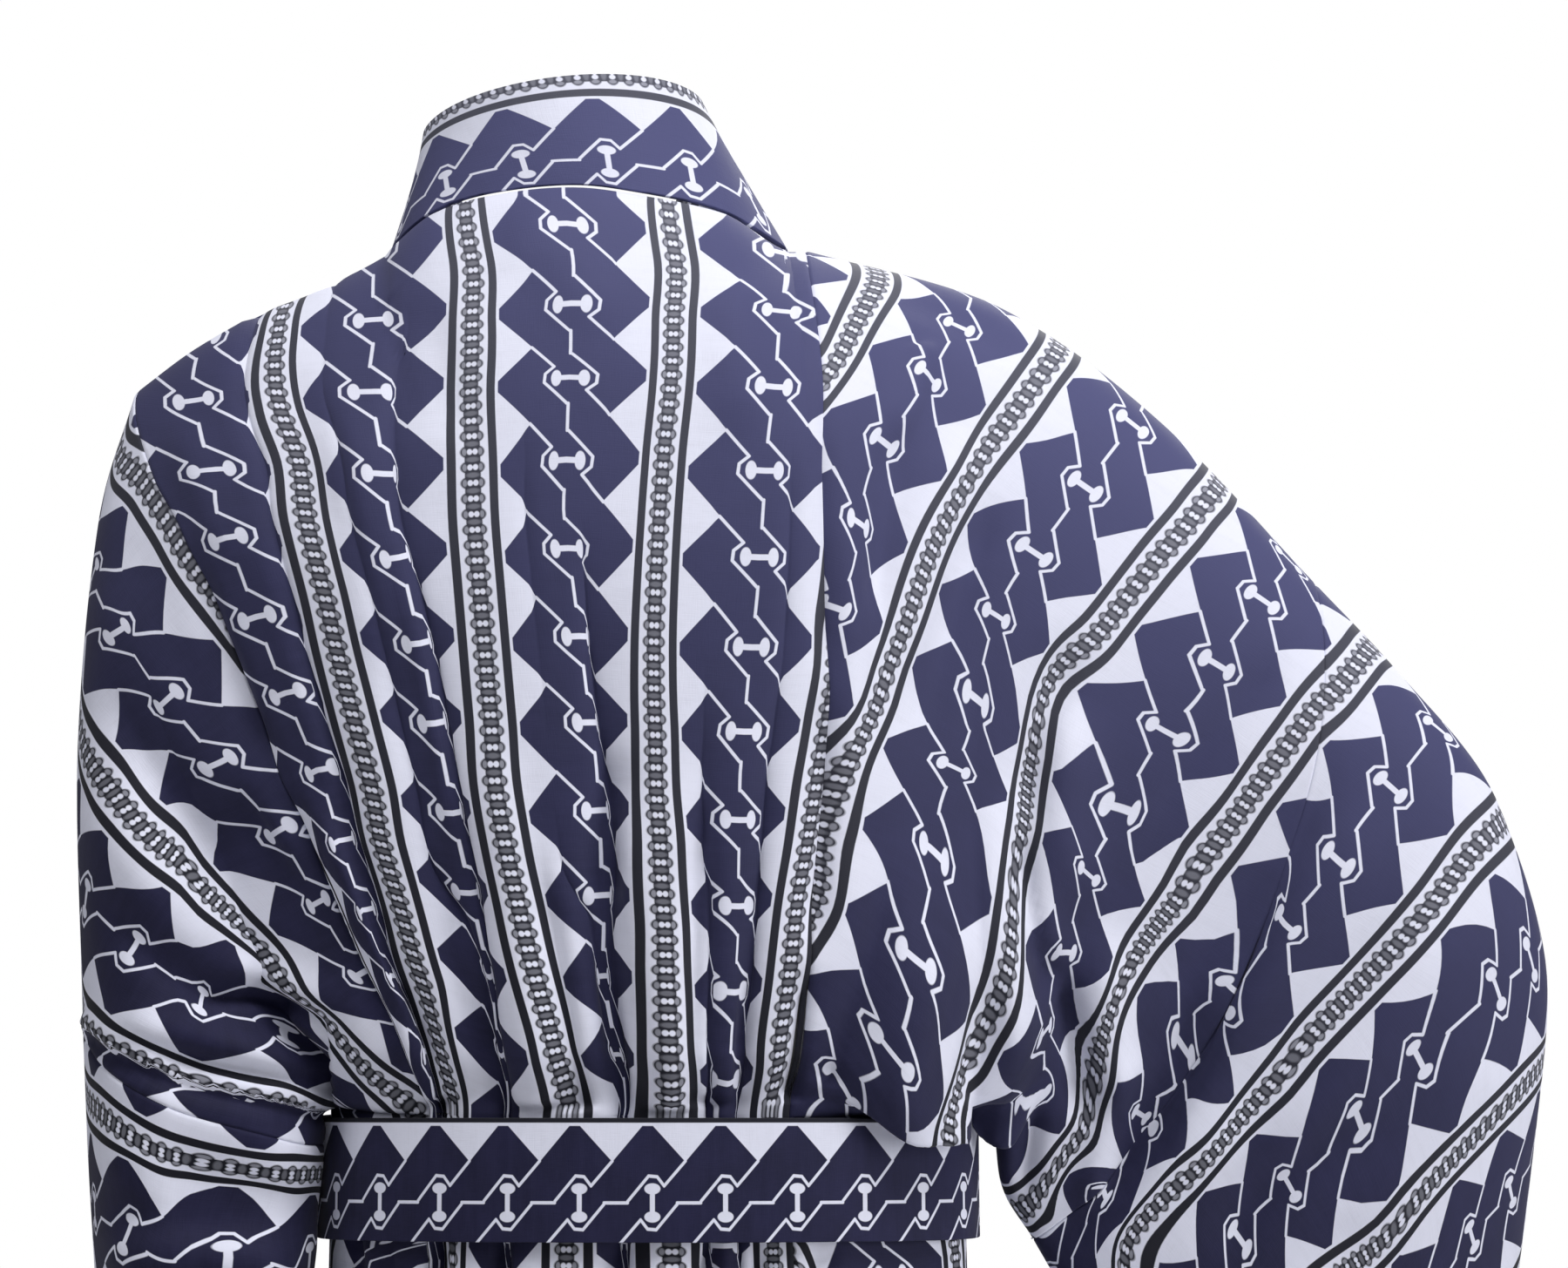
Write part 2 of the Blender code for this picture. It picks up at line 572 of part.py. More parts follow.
def chest_depth(side, spot, seam_z):
    """Depth of the cloth of a front under a point of the collar."""
    outer = outer_amount(seam_z) if side == "left" else 0.0
    section = body_point(body_angle(spot.x, spot.z, False), spot.z, outer)
    depth = section.y if seam_z <= UNDERARM_Z else round_over(0.0, section.y, 0.0037 - spot.z)
    if abs(spot.x) < NECK_RADIUS and seam_z > -0.15:
        depth = min(depth, -math.sqrt(NECK_RADIUS ** 2 - spot.x ** 2))
    return depth


def collar_front_point(side, seam, reach):
    """Point of the collar on the chest, lying flat below and standing at the neck."""
    sign = 1.0 if side == "left" else -1.0
    step = 0.004
    rise = SEAMS.at("edge_" + side, seam.z + step) - SEAMS.at("edge_" + side, seam.z)
    line = Vector((rise, 0.0, step)).normalized()
    lying = Vector((-sign * line.z, 0.0, sign * line.x)) * COLLAR_WIDTH
    standing = Vector(COLLAR_STANDING[side])
    run = min(max((0.002 - seam.z) / 0.060, 0.0), 1.0)
    run = run * run * (3.0 - 2.0 * run)
    across = standing.lerp(lying, run)
    straight = lerp(seam.y, chest_depth(side, seam + across, seam.z), reach)
    spot = seam + across * reach + Vector((0.0, 0.0, (1.0 - run) * COLLAR_LIFT))
    on_chest = lerp(seam.y, chest_depth(side, spot, seam.z), min(1.0, reach * 3.0))
    spot.y = lerp(straight, on_chest, run)
    return spot


def collar_rows():
    """Rows across the collar, seam to free edge, from the left end round to the right end."""
    reaches = [i / COLLAR_COLUMNS for i in range(COLLAR_COLUMNS + 1)]
    fronts = {}
    for side in ("left", "right"):
        fronts[side] = [[collar_front_point(side, seam, reach) for reach in reaches]
                        for seam in front_rows(side)]
    neck = []
    first, last = NECK_COLUMNS
    for i in range(first, last + 1):
        low = back_upper(i / BACK_COLUMNS, 1.0) + Vector((0.0, 0.0, COLLAR_LIFT * 0.8))
        turn = math.radians(lerp(-90.0, 90.0, (i - first) / (last - first)))
        high = Vector((0.001 - 0.0590 * math.sin(turn), 0.004 + 0.0510 * math.cos(turn),
                       0.0575 + 0.0155 * math.cos(turn) + 0.0066 * math.sin(turn)))
        neck.append([low.lerp(high, reach) for reach in reaches])
    return fronts["left"][::-1] + neck + fronts["right"]


def build_collar(material):
    grid = draw_in(collar_rows(), first_column=True)
    return panel("collar", grid, COLLAR_WALL, material,
                 lambda p: Vector((p.x - NECK_X, p.y + 0.02, 0.0)))


def belt_point(angle, share):
    """Point of the belt's outer face; share runs from its lower to its upper edge."""
    z = BELT_Z - BELT_DIP * (1.0 - math.cos(angle)) * 0.9 + BELT_WIDTH * (share - 0.5)
    level = min(max(z, -0.430), -0.352)
    base = body_point(angle, level, OVERLAP_DEPTH)
    push = gather(angle, level)
    base = base - Vector((push * math.sin(angle), push * math.cos(angle), 0.0))
    out = Vector((base.x - SECTIONS.at("xc", level), base.y, 0.0)).normalized()
    point = base + out * BELT_CLEAR
    point.z = z
    return point


def build_belt(material):
    grid = []
    for row in range(3):
        turns = [2.0 * math.pi * i / BELT_SEGMENTS for i in range(BELT_SEGMENTS)]
        grid.append([belt_point(angle, row / 2.0) for angle in turns])
    return panel("belt", grid, BELT_WALL, material,
                 lambda p: Vector((p.x - SECTIONS.at("xc", BELT_Z), p.y, 0.0)), closed=True)


def build_knot(material):
    """The turn of the belt over itself: a short upright band bent round into a flat loop."""
    middle = belt_point(math.pi - 0.10, 0.5)
    centre = Vector((middle.x, middle.y - KNOT_DEPTH / 2.0 - SEAM_GAP * 6, middle.z))
    around, up = 20, 6
    grid = []
    for j in range(up + 1):
        level = 2.0 * j / up - 1.0
        swell = 1.0 - 0.08 * level * level
        row = []
        for k in range(around):
            angle = 2.0 * math.pi * k / around
            x = KNOT_WIDTH / 2.0 * swell * signed_power(math.sin(angle), 0.75)
            y = KNOT_DEPTH / 2.0 * swell * signed_power(math.cos(angle), 0.85)
            row.append(centre + Vector((x, y, level * KNOT_HEIGHT / 2.0 + 0.10 * x)))
        grid.append(row)
    return panel("belt_knot", grid, BELT_WALL, material,
                 lambda p: Vector((p.x - centre.x, p.y - centre.y, 0.0)), closed=True)


def build_tail(name, table, material):
    length = table.keys[-1]
    rows, columns = 12, 4
    grid = []
    for j in range(rows + 1):
        drop = length * j / rows
        turn = math.radians(table.at("turn", drop))
        open_out = min(1.0, 0.40 + max(drop - 0.024, 0.0) / 0.100)
        row = []
        for i in range(columns + 1):
            across = i / columns - 0.5
            side = across * TAIL_WIDTH * open_out
            curl = 0.003 * min(1.0, drop / 0.060) * math.cos(3.0 * across + 9.0 * drop)
            row.append(Vector((table.at("x", drop) + side * math.cos(turn),
                               table.at("y", drop) + side * math.sin(turn) - curl,
                               TAIL_TOP_Z - drop)))
        grid.append(row)
    return panel(name, grid, BELT_WALL, material, lambda p: Vector((0.0, -1.0, 0.0)))


def cloth_material(name, colour, roughness):
    material = bpy.data.materials.new(name)
    material.use_nodes = True
    shader = material.node_tree.nodes["Principled BSDF"]
    shader.inputs["Base Color"].default_value = (*colour, 1.0)
    shader.inputs["Roughness"].default_value = roughness
    material.diffuse_color = (*colour, 1.0)
    return material


def main():
    for thing in list(bpy.data.objects):
        bpy.data.objects.remove(thing, do_unlink=True)
    body = cloth_material("printed_cotton", (0.27, 0.28, 0.40), 0.75)
    bands = cloth_material("printed_cotton_double", (0.22, 0.23, 0.36), 0.75)
    build_back(body)
    rings = {"left": (INNER_LEFT, OUTER_LEFT), "right": (INNER_RIGHT, OUTER_RIGHT)}
    for side, (inner, outer) in rings.items():
        build_front(side, body)
        build_side(side, inner, body)
        build_sleeve(side, outer, body)
    build_collar(bands)
    build_belt(bands)
    build_knot(bands)
    build_tail("belt_tail_a", TAIL_A, bands)
    build_tail("belt_tail_b", TAIL_B, bands)


main()
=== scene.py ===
"""A cotton yukata robe with a printed chain pattern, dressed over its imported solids.

Metres, +Z up, the robe's front faces -Y, the wearer's left is +X.
"""

import logging
import math
from collections.abc import Callable
from dataclasses import dataclass, field
from enum import Enum
from functools import cache

import bmesh
import bpy
import numpy as np
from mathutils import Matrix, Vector


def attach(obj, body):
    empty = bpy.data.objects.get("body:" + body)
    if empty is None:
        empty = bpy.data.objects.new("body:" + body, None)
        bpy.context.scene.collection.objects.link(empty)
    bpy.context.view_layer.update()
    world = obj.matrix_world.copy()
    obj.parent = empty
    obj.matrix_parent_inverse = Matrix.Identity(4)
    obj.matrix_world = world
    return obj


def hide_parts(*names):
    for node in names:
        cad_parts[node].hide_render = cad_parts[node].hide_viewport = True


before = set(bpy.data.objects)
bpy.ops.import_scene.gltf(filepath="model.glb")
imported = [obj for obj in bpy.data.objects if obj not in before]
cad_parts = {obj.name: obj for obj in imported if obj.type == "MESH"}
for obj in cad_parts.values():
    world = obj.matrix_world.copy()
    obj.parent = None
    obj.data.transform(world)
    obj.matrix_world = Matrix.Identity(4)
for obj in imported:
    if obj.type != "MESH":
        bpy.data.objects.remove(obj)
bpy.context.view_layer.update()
LOG = logging.getLogger("robe")
Array = np.ndarray
Socket = bpy.types.NodeSocket


# ------------------------------------------------------------------ smooth tables
def smooth_curve(keys: Array, values: Array, place: Array) -> Array:
    """Read values between keys along a smooth curve that never overshoots.

    Args:
        keys: Rising keys, one for each row of values.
        values: Values by key, the first axis matching the keys.
        place: Where to read, the shape of one row of values.

    Returns:
        The value at each place, held constant past the ends.
    """
    steps = np.diff(keys)
    spread = (-1,) + (1,) * (values.ndim - 1)
    secants = np.diff(values, axis=0) / steps.reshape(spread)
    slopes = np.empty_like(values, dtype=float)
    slopes[0], slopes[-1] = secants[0], secants[-1]
    for i in range(1, len(keys) - 1):
        before, after = secants[i - 1], secants[i]
        level = before * after <= 0.0
        w_before = 2.0 * steps[i] + steps[i - 1]
        w_after = steps[i] + 2.0 * steps[i - 1]
        turn = w_before / np.where(level, 1.0, before) + w_after / np.where(level, 1.0, after)
        slopes[i] = np.where(level, 0.0, (w_before + w_after) / np.where(level, 1.0, turn))
    place = np.clip(place, keys[0], keys[-1])
    i = np.clip(np.searchsorted(keys, place, side="right") - 1, 0, len(keys) - 2)
    t = (place - keys[i]) / steps[i]

    def pick(rows: Array, index: Array) -> Array:
        """Take the row that each place asks for."""
        if rows.ndim == 1:
            return rows[index]
        return np.take_along_axis(rows, index[None], axis=0)[0]

    h00, h10 = (1 + 2 * t) * (1 - t) ** 2, t * (1 - t) ** 2
    h01, h11 = t * t * (3 - 2 * t), t * t * (t - 1)
    return (h00 * pick(values, i) + h10 * steps[i] * pick(slopes, i)
            + h01 * pick(values, i + 1) + h11 * steps[i] * pick(slopes, i + 1))


class Table:
    """Rows of named columns, read between the rows along a smooth curve."""

    def __init__(self, columns: str, rows: list[tuple[float, ...]]) -> None:
        """Keep the rows in the order of their first column, the key.

        Args:
            columns: Names of the columns, with the key's name first.
            rows: One tuple of numbers for each key.
        """
        self.columns = columns.split()
        self.rows = np.array(sorted(rows), dtype=float)
        self.keys = self.rows[:, 0]

    def at(self, column: str, key: Array | float) -> Array:
        """Read one column at the keys asked for."""
        values = self.rows[:, self.columns.index(column)]
        return smooth_curve(self.keys, values, np.asarray(key, dtype=float))


def lerp(a: Array | float, b: Array | float, t: Array | float) -> Array | float:
    """Go from a to b as t goes from 0 to 1."""
    return a + (b - a) * t


def ramp(value: Array | float, start: float, end: float) -> Array:
    """Rise smoothly from 0 at start to 1 at end."""
    t = np.clip((np.asarray(value, dtype=float) - start) / (end - start), 0.0, 1.0)
    return t * t * (3.0 - 2.0 * t)


def signed_power(value: Array, power: float) -> Array:
    """Raise the size of a value to a power and keep its sign."""
    return np.copysign(np.abs(value) ** power, value)


def stack(x: Array, y: Array, z: Array) -> Array:
    """Join three coordinate arrays into an array of points."""
    return np.stack(np.broadcast_arrays(x, y, z), axis=-1).astype(float)


def unit(vectors: Array) -> Array:
    """Scale vectors to length 1."""
    return vectors / np.maximum(np.linalg.norm(vectors, axis=-1, keepdims=True), 1e-12)


# ------------------------------------------------------------------ the robe's form
class Side(Enum):
    """The wearer's two sides."""

    LEFT = "left"
    RIGHT = "right"

    @property
    def sign(self) -> float:
        """Direction of this side along X."""
        return 1.0 if self is Side.LEFT else -1.0


SECTIONS = Table("z xc half back front gather", [
    (-1.250, -0.020, 0.222, 0.158, 0.146, 0.0090),
    (-0.900, -0.026, 0.202, 0.144, 0.132, 0.0075),
    (-0.600, -0.031, 0.178, 0.128, 0.116, 0.0070),
    (-0.460, -0.034, 0.146, 0.104, 0.102, 0.0062),
    (-0.430, -0.035, 0.135, 0.094, 0.095, 0.0014),
    (-0.352, -0.035, 0.134, 0.093, 0.095, 0.0012),
    (-0.328, -0.033, 0.146, 0.103, 0.102, 0.0010),
    (-0.290, -0.030, 0.163, 0.107, 0.106, 0.0000),
    (-0.230, -0.022, 0.185, 0.108, 0.109, 0.0000),
    (-0.150, -0.010, 0.207, 0.108, 0.106, 0.0000),
    (-0.050, 0.000, 0.220, 0.100, 0.086, 0.0000),
    (0.030, 0.003, 0.220, 0.084, 0.066, 0.0000),
])
SEAMS = Table("z back_left back_right front_left front_right edge_left edge_right", [
    (-1.250, 0.1440, -0.1680, 0.1180, -0.1560, -0.1300, 0.0500),
    (-0.900, 0.1280, -0.1600, 0.1050, -0.1480, -0.1150, 0.0420),
    (-0.600, 0.1020, -0.1420, 0.0960, -0.1400, -0.0980, 0.0320),
    (-0.430, 0.0560, -0.0970, 0.0840, -0.1220, -0.0760, 0.0220),
    (-0.356, 0.0538, -0.0943, 0.0830, -0.1180, -0.0740, 0.0220),
    (-0.334, 0.0605, -0.0995, 0.0890, -0.1190, -0.0700, 0.0240),
    (-0.289, 0.0850, -0.1040, 0.1040, -0.1215, -0.0600, 0.0250),
    (-0.263, 0.0955, -0.1056, 0.1130, -0.1230, -0.0530, 0.0230),
    (-0.202, 0.1207, -0.1109, 0.1320, -0.1250, -0.0280, 0.0100),
    (-0.158, 0.1385, -0.1109, 0.1460, -0.1230, -0.0030, -0.0100),
    (-0.113, 0.1577, -0.1103, 0.1600, -0.1180, 0.0230, -0.0370),
    (-0.093, 0.1696, -0.1096, 0.1680, -0.1150, 0.0340, -0.0500),
    (-0.0555, 0.1813, -0.1086, 0.1813, -0.1100, 0.0540, -0.0710),
    (0.0037, 0.1813, -0.1017, 0.1813, -0.1017, 0.0759, -0.0944),
])
BACK_TOP = Table("across x z", [
    (0.00, 0.1813, -0.0555),
    (0.09, 0.1560, -0.0370),
    (0.18, 0.1295, -0.0225),
    (0.27, 0.1073, -0.0140),
    (0.37, 0.0759, 0.0020),
    (0.45, 0.0530, 0.0174),
    (0.53, 0.0304, 0.0235),
    (0.66, -0.0060, 0.0266),
    (0.77, -0.0347, 0.0233),
    (0.88, -0.0671, 0.0171),
    (0.97, -0.0944, 0.0037),
    (1.00, -0.1017, 0.0037),
])
RING_COLUMNS = "station ridge_x ridge_y ridge_z low_x low_y low_z arm bag turn tilt bow"
INNER_RIGHT = Table(RING_COLUMNS, [
    (1.0, -0.1739, 0.000, -0.0160, -0.1690, 0.000, -0.3560, 0.064, 0.062, 0.0, 0.0, 0.000),
    (1.4, -0.2050, 0.000, -0.0325, -0.1810, -0.001, -0.3640, 0.059, 0.050, 0.0, 0.0, -0.008),
    (2.0, -0.2520, 0.000, -0.0690, -0.1850, -0.004, -0.3910, 0.052, 0.034, 0.0, 0.0, -0.018),
    (3.0, -0.3178, 0.000, -0.1376, -0.1990, -0.010, -0.4160, 0.048, 0.026, 0.0, 0.0, -0.034),
])
OUTER_RIGHT = Table(RING_COLUMNS, [
    (3.0, -0.3178, 0.000, -0.1376, -0.1990, -0.010, -0.4160, 0.048, 0.026, 0.0, 0.0, -0.034),
    (3.7, -0.3520, 0.000, -0.1740, -0.2150, -0.018, -0.4440, 0.048, 0.024, 6.0, 0.0, -0.012),
    (4.6, -0.3930, -0.006, -0.2270, -0.2450, -0.034, -0.4980, 0.047, 0.022, 18.0, 4.0, 0.000),
    (5.4, -0.4080, -0.034, -0.2830, -0.3050, -0.066, -0.5660, 0.045, 0.021, 42.0, 8.0, 0.000),
    (6.1, -0.3900, -0.080, -0.3180, -0.3700, -0.104, -0.6220, 0.044, 0.020, 66.0, 6.0, 0.000),
    (7.0, -0.3760, -0.150, -0.3480, -0.3800, -0.164, -0.6560, 0.044, 0.020, 78.0, 0.0, 0.000),
])
INNER_LEFT = Table(RING_COLUMNS, [
    (1.0, 0.1968, 0.000, -0.1110, 0.0990, 0.000, -0.3560, 0.068, 0.064, 0.0, 0.0, 0.000),
    (2.0, 0.2060, -0.002, -0.2200, 0.1070, -0.009, -0.3585, 0.080, 0.076, 0.0, 0.0, 0.000),
    (3.0, 0.2054, -0.008, -0.3256, 0.1140, -0.022, -0.3670, 0.092, 0.088, 0.0, 5.0, 0.000),
])
OUTER_LEFT = Table(RING_COLUMNS, [
    (3.0, 0.2054, -0.008, -0.3256, 0.1140, -0.022, -0.3670, 0.092, 0.088, 0.0, 5.0, 0.000),
    (3.7, 0.2046, -0.018, -0.3800, 0.1175, -0.033, -0.4120, 0.100, 0.096, 0.0, 8.0, 0.000),
    (4.6, 0.2030, -0.036, -0.4400, 0.1300, -0.048, -0.4640, 0.107, 0.103, 0.0, 12.0, 0.000),
    (5.7, 0.2120, -0.056, -0.5060, 0.1500, -0.064, -0.5260, 0.111, 0.107, 0.0, 15.0, 0.000),
    (7.0, 0.2240, -0.076, -0.5860, 0.1700, -0.082, -0.6000, 0.113, 0.109, 0.0, 17.0, 0.000),
])
RINGS = {Side.LEFT: (INNER_LEFT, OUTER_LEFT), Side.RIGHT: (INNER_RIGHT, OUTER_RIGHT)}
UNDERARM_Z = -0.356
HEM_Z = -1.250


@dataclass(frozen=True)
class LongFold:
    """A soft fold that runs down the back from a height to the belt."""

    at_shoulder: float
    at_waist: float
    width: float
    depth: float
    start_z: float


@dataclass(frozen=True)
class SleeveFold:
    """A deep fold across the back face of a sleeve."""

    side: Side
    station: float
    middle: float
    reach: float
    width: float
    depth: float


@dataclass(frozen=True)
class RobeForm:
    """The worn shape that every piece of the robe is cut from."""

    section_power: float = 2.3
    sleeve_power: float = 2.6
    round_drop: float = 0.100
    overlap_depth: float = 0.0080
    neck_x: float = -0.0092
    neck_half_width: float = 0.0850
    neck_depth: float = 0.0620
    neck_radius: float = 0.0640
    front_gather: float = 0.30
    collar_width: float = 0.050
    collar_lift: float = 0.0013
    belt_width: float = 0.0508
    belt_z: float = -0.3810
    belt_dip: float = 0.0085
    belt_clear: float = 0.0052
    long_folds: tuple[LongFold, ...] = (
        LongFold(0.335, 0.235, 0.055, 0.0085, -0.060),
        LongFold(0.625, 0.560, 0.050, 0.0095, -0.110),
        LongFold(0.920, 0.820, 0.050, 0.0070, -0.180),
        LongFold(0.080, 0.075, 0.040, 0.0075, -0.200),
    )
    sleeve_folds: tuple[SleeveFold, ...] = (
        SleeveFold(Side.RIGHT, 3.05, 125.0, 42.0, 0.28, 0.0120),
        SleeveFold(Side.RIGHT, 2.25, 142.0, 32.0, 0.26, 0.0080),
        SleeveFold(Side.LEFT, 2.70, 88.0, 46.0, 0.17, 0.0110),
        SleeveFold(Side.LEFT, 3.30, 102.0, 46.0, 0.20, 0.0090),
        SleeveFold(Side.LEFT, 4.40, 80.0, 50.0, 0.30, 0.0080),
    )

    def gather(self, angle: Array, z: Array) -> Array:
        """Depth of the waist gathers at an angle round the body, behind = 0."""
        wave = 0.62 * np.cos(14 * angle + 0.4) + 0.38 * np.cos(9 * angle - 1.1)
        behind = 0.5 * (1.0 + np.cos(angle))
        return SECTIONS.at("gather", z) * wave * lerp(self.front_gather, 1.0, behind)

    def body(self, angle: Array, z: Array, outer: Array | float = 0.0) -> Array:
        """Points of the closed body section, +90 degrees at the left.

        Args:
            angle: Angles round the body in radians, 0 behind.
            z: Heights.
            outer: How far the front stands out for the overlap.

        Returns:
            The points.
        """
        angle, z = np.broadcast_arrays(np.asarray(angle, float), np.asarray(z, float))
        power = 2.0 / self.section_power
        sine, cosine = np.sin(angle), np.cos(angle)
        depth = np.where(cosine > 0.0, SECTIONS.at("back", z), SECTIONS.at("front", z) + outer)
        push = self.gather(angle, z)
        x = SECTIONS.at("xc", z) + SECTIONS.at("half", z) * signed_power(sine, power) + push * sine
        y = depth * signed_power(cosine, power) + push * cosine
        return stack(x, y, z)

    def angle_at(self, x: Array, z: Array, behind: bool) -> Array:
        """Angle at which the body section passes over a given x."""
        reach = np.clip((x - SECTIONS.at("xc", z)) / SECTIONS.at("half", z), -1.0, 1.0)
        angle = np.arcsin(signed_power(reach, self.section_power / 2.0))
        return angle if behind else math.pi - angle

    def round_over(self, top_y: Array, section_y: Array, drop: Array) -> Array:
        """Depth of the cloth as it rounds down from its top edge to the body section."""
        reach = 1.0 - np.minimum(drop / self.round_drop, 1.0)
        return top_y + (section_y - top_y) * np.sqrt(np.maximum(0.0, 1.0 - reach * reach))

    def neck_y(self, x: Array) -> Array:
        """Depth of the neck line behind the shoulder line."""
        reach = np.minimum(1.0, np.abs((x - self.neck_x) / self.neck_half_width))
        return self.neck_depth * np.sqrt(1.0 - reach * reach)

    def fold_depth(self, across: Array, z: Array) -> Array:
        """Inward depth of the long folds of the back."""
        total = np.zeros(np.broadcast(across, z).shape)
        for fold in self.long_folds:
            run = np.clip((fold.start_z - z) / (fold.start_z + 0.330), 0.0, 1.0)
            middle = lerp(fold.at_shoulder, fold.at_waist, np.clip((-0.060 - z) / 0.270, 0.0, 1.0))
            hold = 1.0 - 0.9 * np.clip((-0.325 - z) / 0.030, 0.0, 1.0)
            total += fold.depth * run * hold * np.exp(-((across - middle) / fold.width) ** 2)
        return total * np.clip(np.minimum(across, 1.0 - across) / 0.035, 0.0, 1.0)

    def outer_amount(self, z: Array) -> Array:
        """How far the left front lies outside the right front at a height."""
        return self.overlap_depth * np.clip((-0.020 - np.asarray(z, float)) / 0.080, 0.0, 1.0)

    def back_upper(self, across: Array, share: Array) -> Array:
        """Points of the back from the underarm, share 0, to its top edge, share 1."""
        across, share = np.broadcast_arrays(np.asarray(across, float), np.asarray(share, float))
        top_x, top_z = BACK_TOP.at("x", across), BACK_TOP.at("z", across)
        ends = [(float(BACK_TOP.at("x", k)), float(BACK_TOP.at("z", k))) for k in (0.0, 1.0)]
        seam_left, seam_right = (float(SEAMS.at(name, UNDERARM_Z)) for name in ("back_left", "back_right"))
        x_left = SEAMS.at("back_left", lerp(UNDERARM_Z, ends[0][1], share))
        x_right = SEAMS.at("back_right", lerp(UNDERARM_Z, ends[1][1], share))
        shift = top_x - lerp(ends[0][0], ends[1][0], across)
        z = lerp(UNDERARM_Z, top_z, share)
        angles = [self.angle_at(x, UNDERARM_Z, True) for x in (seam_left, seam_right)]
        low_x = self.body(lerp(angles[0], angles[1], across), UNDERARM_Z)[..., 0]
        low_shift = low_x - lerp(seam_left, seam_right, across)
        x = lerp(x_left, x_right, across) + shift * share ** 1.6 + low_shift * (1.0 - share) ** 3
        section = self.body(self.angle_at(x, z, True), z)
        top_y = np.where(top_z > 0.003, self.neck_y(top_x), 0.0)
        y = self.round_over(top_y, section[..., 1], top_z - z) - self.fold_depth(across, z)
        return stack(x, y, z)

    def back_lower(self, across: Array, z: Array) -> Array:
        """Points of the back below the underarm."""
        left = self.angle_at(SEAMS.at("back_left", z), z, True)
        right = self.angle_at(SEAMS.at("back_right", z), z, True)
        points = self.body(lerp(left, right, across), z)
        points[..., 1] -= self.fold_depth(across, z)
        return points

    def front_top(self, side: Side, across: Array) -> tuple[Array, Array]:
        """Place of the top edge of a front, from the sleeve seam to the collar."""
        run = lerp(0.0, 0.37, across) if side is Side.LEFT else lerp(1.0, 0.97, across)
        return BACK_TOP.at("x", run), BACK_TOP.at("z", run)

    def front_upper(self, side: Side, across: Array, share: Array) -> Array:
        """Points of a front from the underarm, share 0, to its top edge, share 1."""
        across, share = np.broadcast_arrays(np.asarray(across, float), np.asarray(share, float))
        top_x, top_z = self.front_top(side, across)
        seam_top, edge_top = self.front_top(side, 0.0), self.front_top(side, 1.0)
        x_seam = SEAMS.at("front_" + side.value, lerp(UNDERARM_Z, seam_top[1], share))
        x_edge = SEAMS.at("edge_" + side.value, lerp(UNDERARM_Z, edge_top[1], share))
        shift = top_x - lerp(seam_top[0], edge_top[0], across)
        z = lerp(UNDERARM_Z, top_z, share)
        low_x = self.front_lower(side, across, np.full(across.shape, UNDERARM_Z))[..., 0]
        low_shift = low_x - lerp(SEAMS.at("front_" + side.value, UNDERARM_Z),
                                 SEAMS.at("edge_" + side.value, UNDERARM_Z), across)
        x = lerp(x_seam, x_edge, across) + shift * share ** 1.6 + low_shift * (1.0 - share) ** 3
        outer = self.outer_amount(z) if side is Side.LEFT else 0.0
        section = self.body(self.angle_at(x, z, False), z, outer)
        return stack(x, self.round_over(0.0, section[..., 1], top_z - z), z)

    def front_lower(self, side: Side, across: Array, z: Array) -> Array:
        """Points of a front below the underarm."""
        seam = self.angle_at(SEAMS.at("front_" + side.value, z), z, False)
        edge = self.angle_at(SEAMS.at("edge_" + side.value, z), z, False)
        outer = self.outer_amount(z) if side is Side.LEFT else 0.0
        return self.body(lerp(seam, edge, across), z, outer)

    def sleeve_fold(self, side: Side, station: Array, degrees: Array) -> Array:
        """How far the deep folds draw the back face of a sleeve inward."""
        total = np.zeros(np.broadcast(station, degrees).shape)
        for fold in self.sleeve_folds:
            if fold.side is side:
                along = (station - fold.station) / fold.width
                about = (degrees - fold.middle) / fold.reach
                near = np.abs(about) < 2.5
                total += near * fold.depth * np.exp(-along * along - about * about)
        return total

    def ring(self, rings: Table, side: Side, station: Array, angle: Array) -> Array:
        """Points of the sleeve rings.

        Args:
            rings: The rings' table.
            side: Which sleeve.
            station: Places along the sleeve.
            angle: Angles round the ring, 0 on the ridge, 90 degrees on the back face.

        Returns:
            The points.
        """
        station, angle = np.broadcast_arrays(np.asarray(station, float), np.asarray(angle, float))
        get = {name: rings.at(name, station) for name in rings.columns[1:]}
        ridge = stack(get["ridge_x"], get["ridge_y"], get["ridge_z"])
        low = stack(get["low_x"], get["low_y"], get["low_z"])
        middle, along = (ridge + low) / 2.0, ridge - low
        half = np.linalg.norm(along, axis=-1, keepdims=True) / 2.0
        along = unit(along)
        turn, tilt = np.radians(get["turn"]), np.radians(get["tilt"])
        back = stack(side.sign * np.sin(turn) * np.cos(tilt), np.cos(turn) * np.cos(tilt), -np.sin(tilt))
        back = unit(back - along * (back * along).sum(-1, keepdims=True))
        outward = np.cross(back, along) * -side.sign
        power = 2.0 / self.sleeve_power
        cosine, sine = np.cos(angle), np.sin(angle)
        upper = 0.5 * (1.0 + signed_power(cosine, power))
        thick = lerp(get["bag"], get["arm"], upper)
        thick = thick - self.sleeve_fold(side, station, np.degrees(angle))
        bow = get["bow"] * (1.0 - cosine * cosine) * side.sign
        return (middle + along * half * signed_power(cosine, power)[..., None]
                + back * (thick * signed_power(sine, power))[..., None] - outward * bow[..., None])

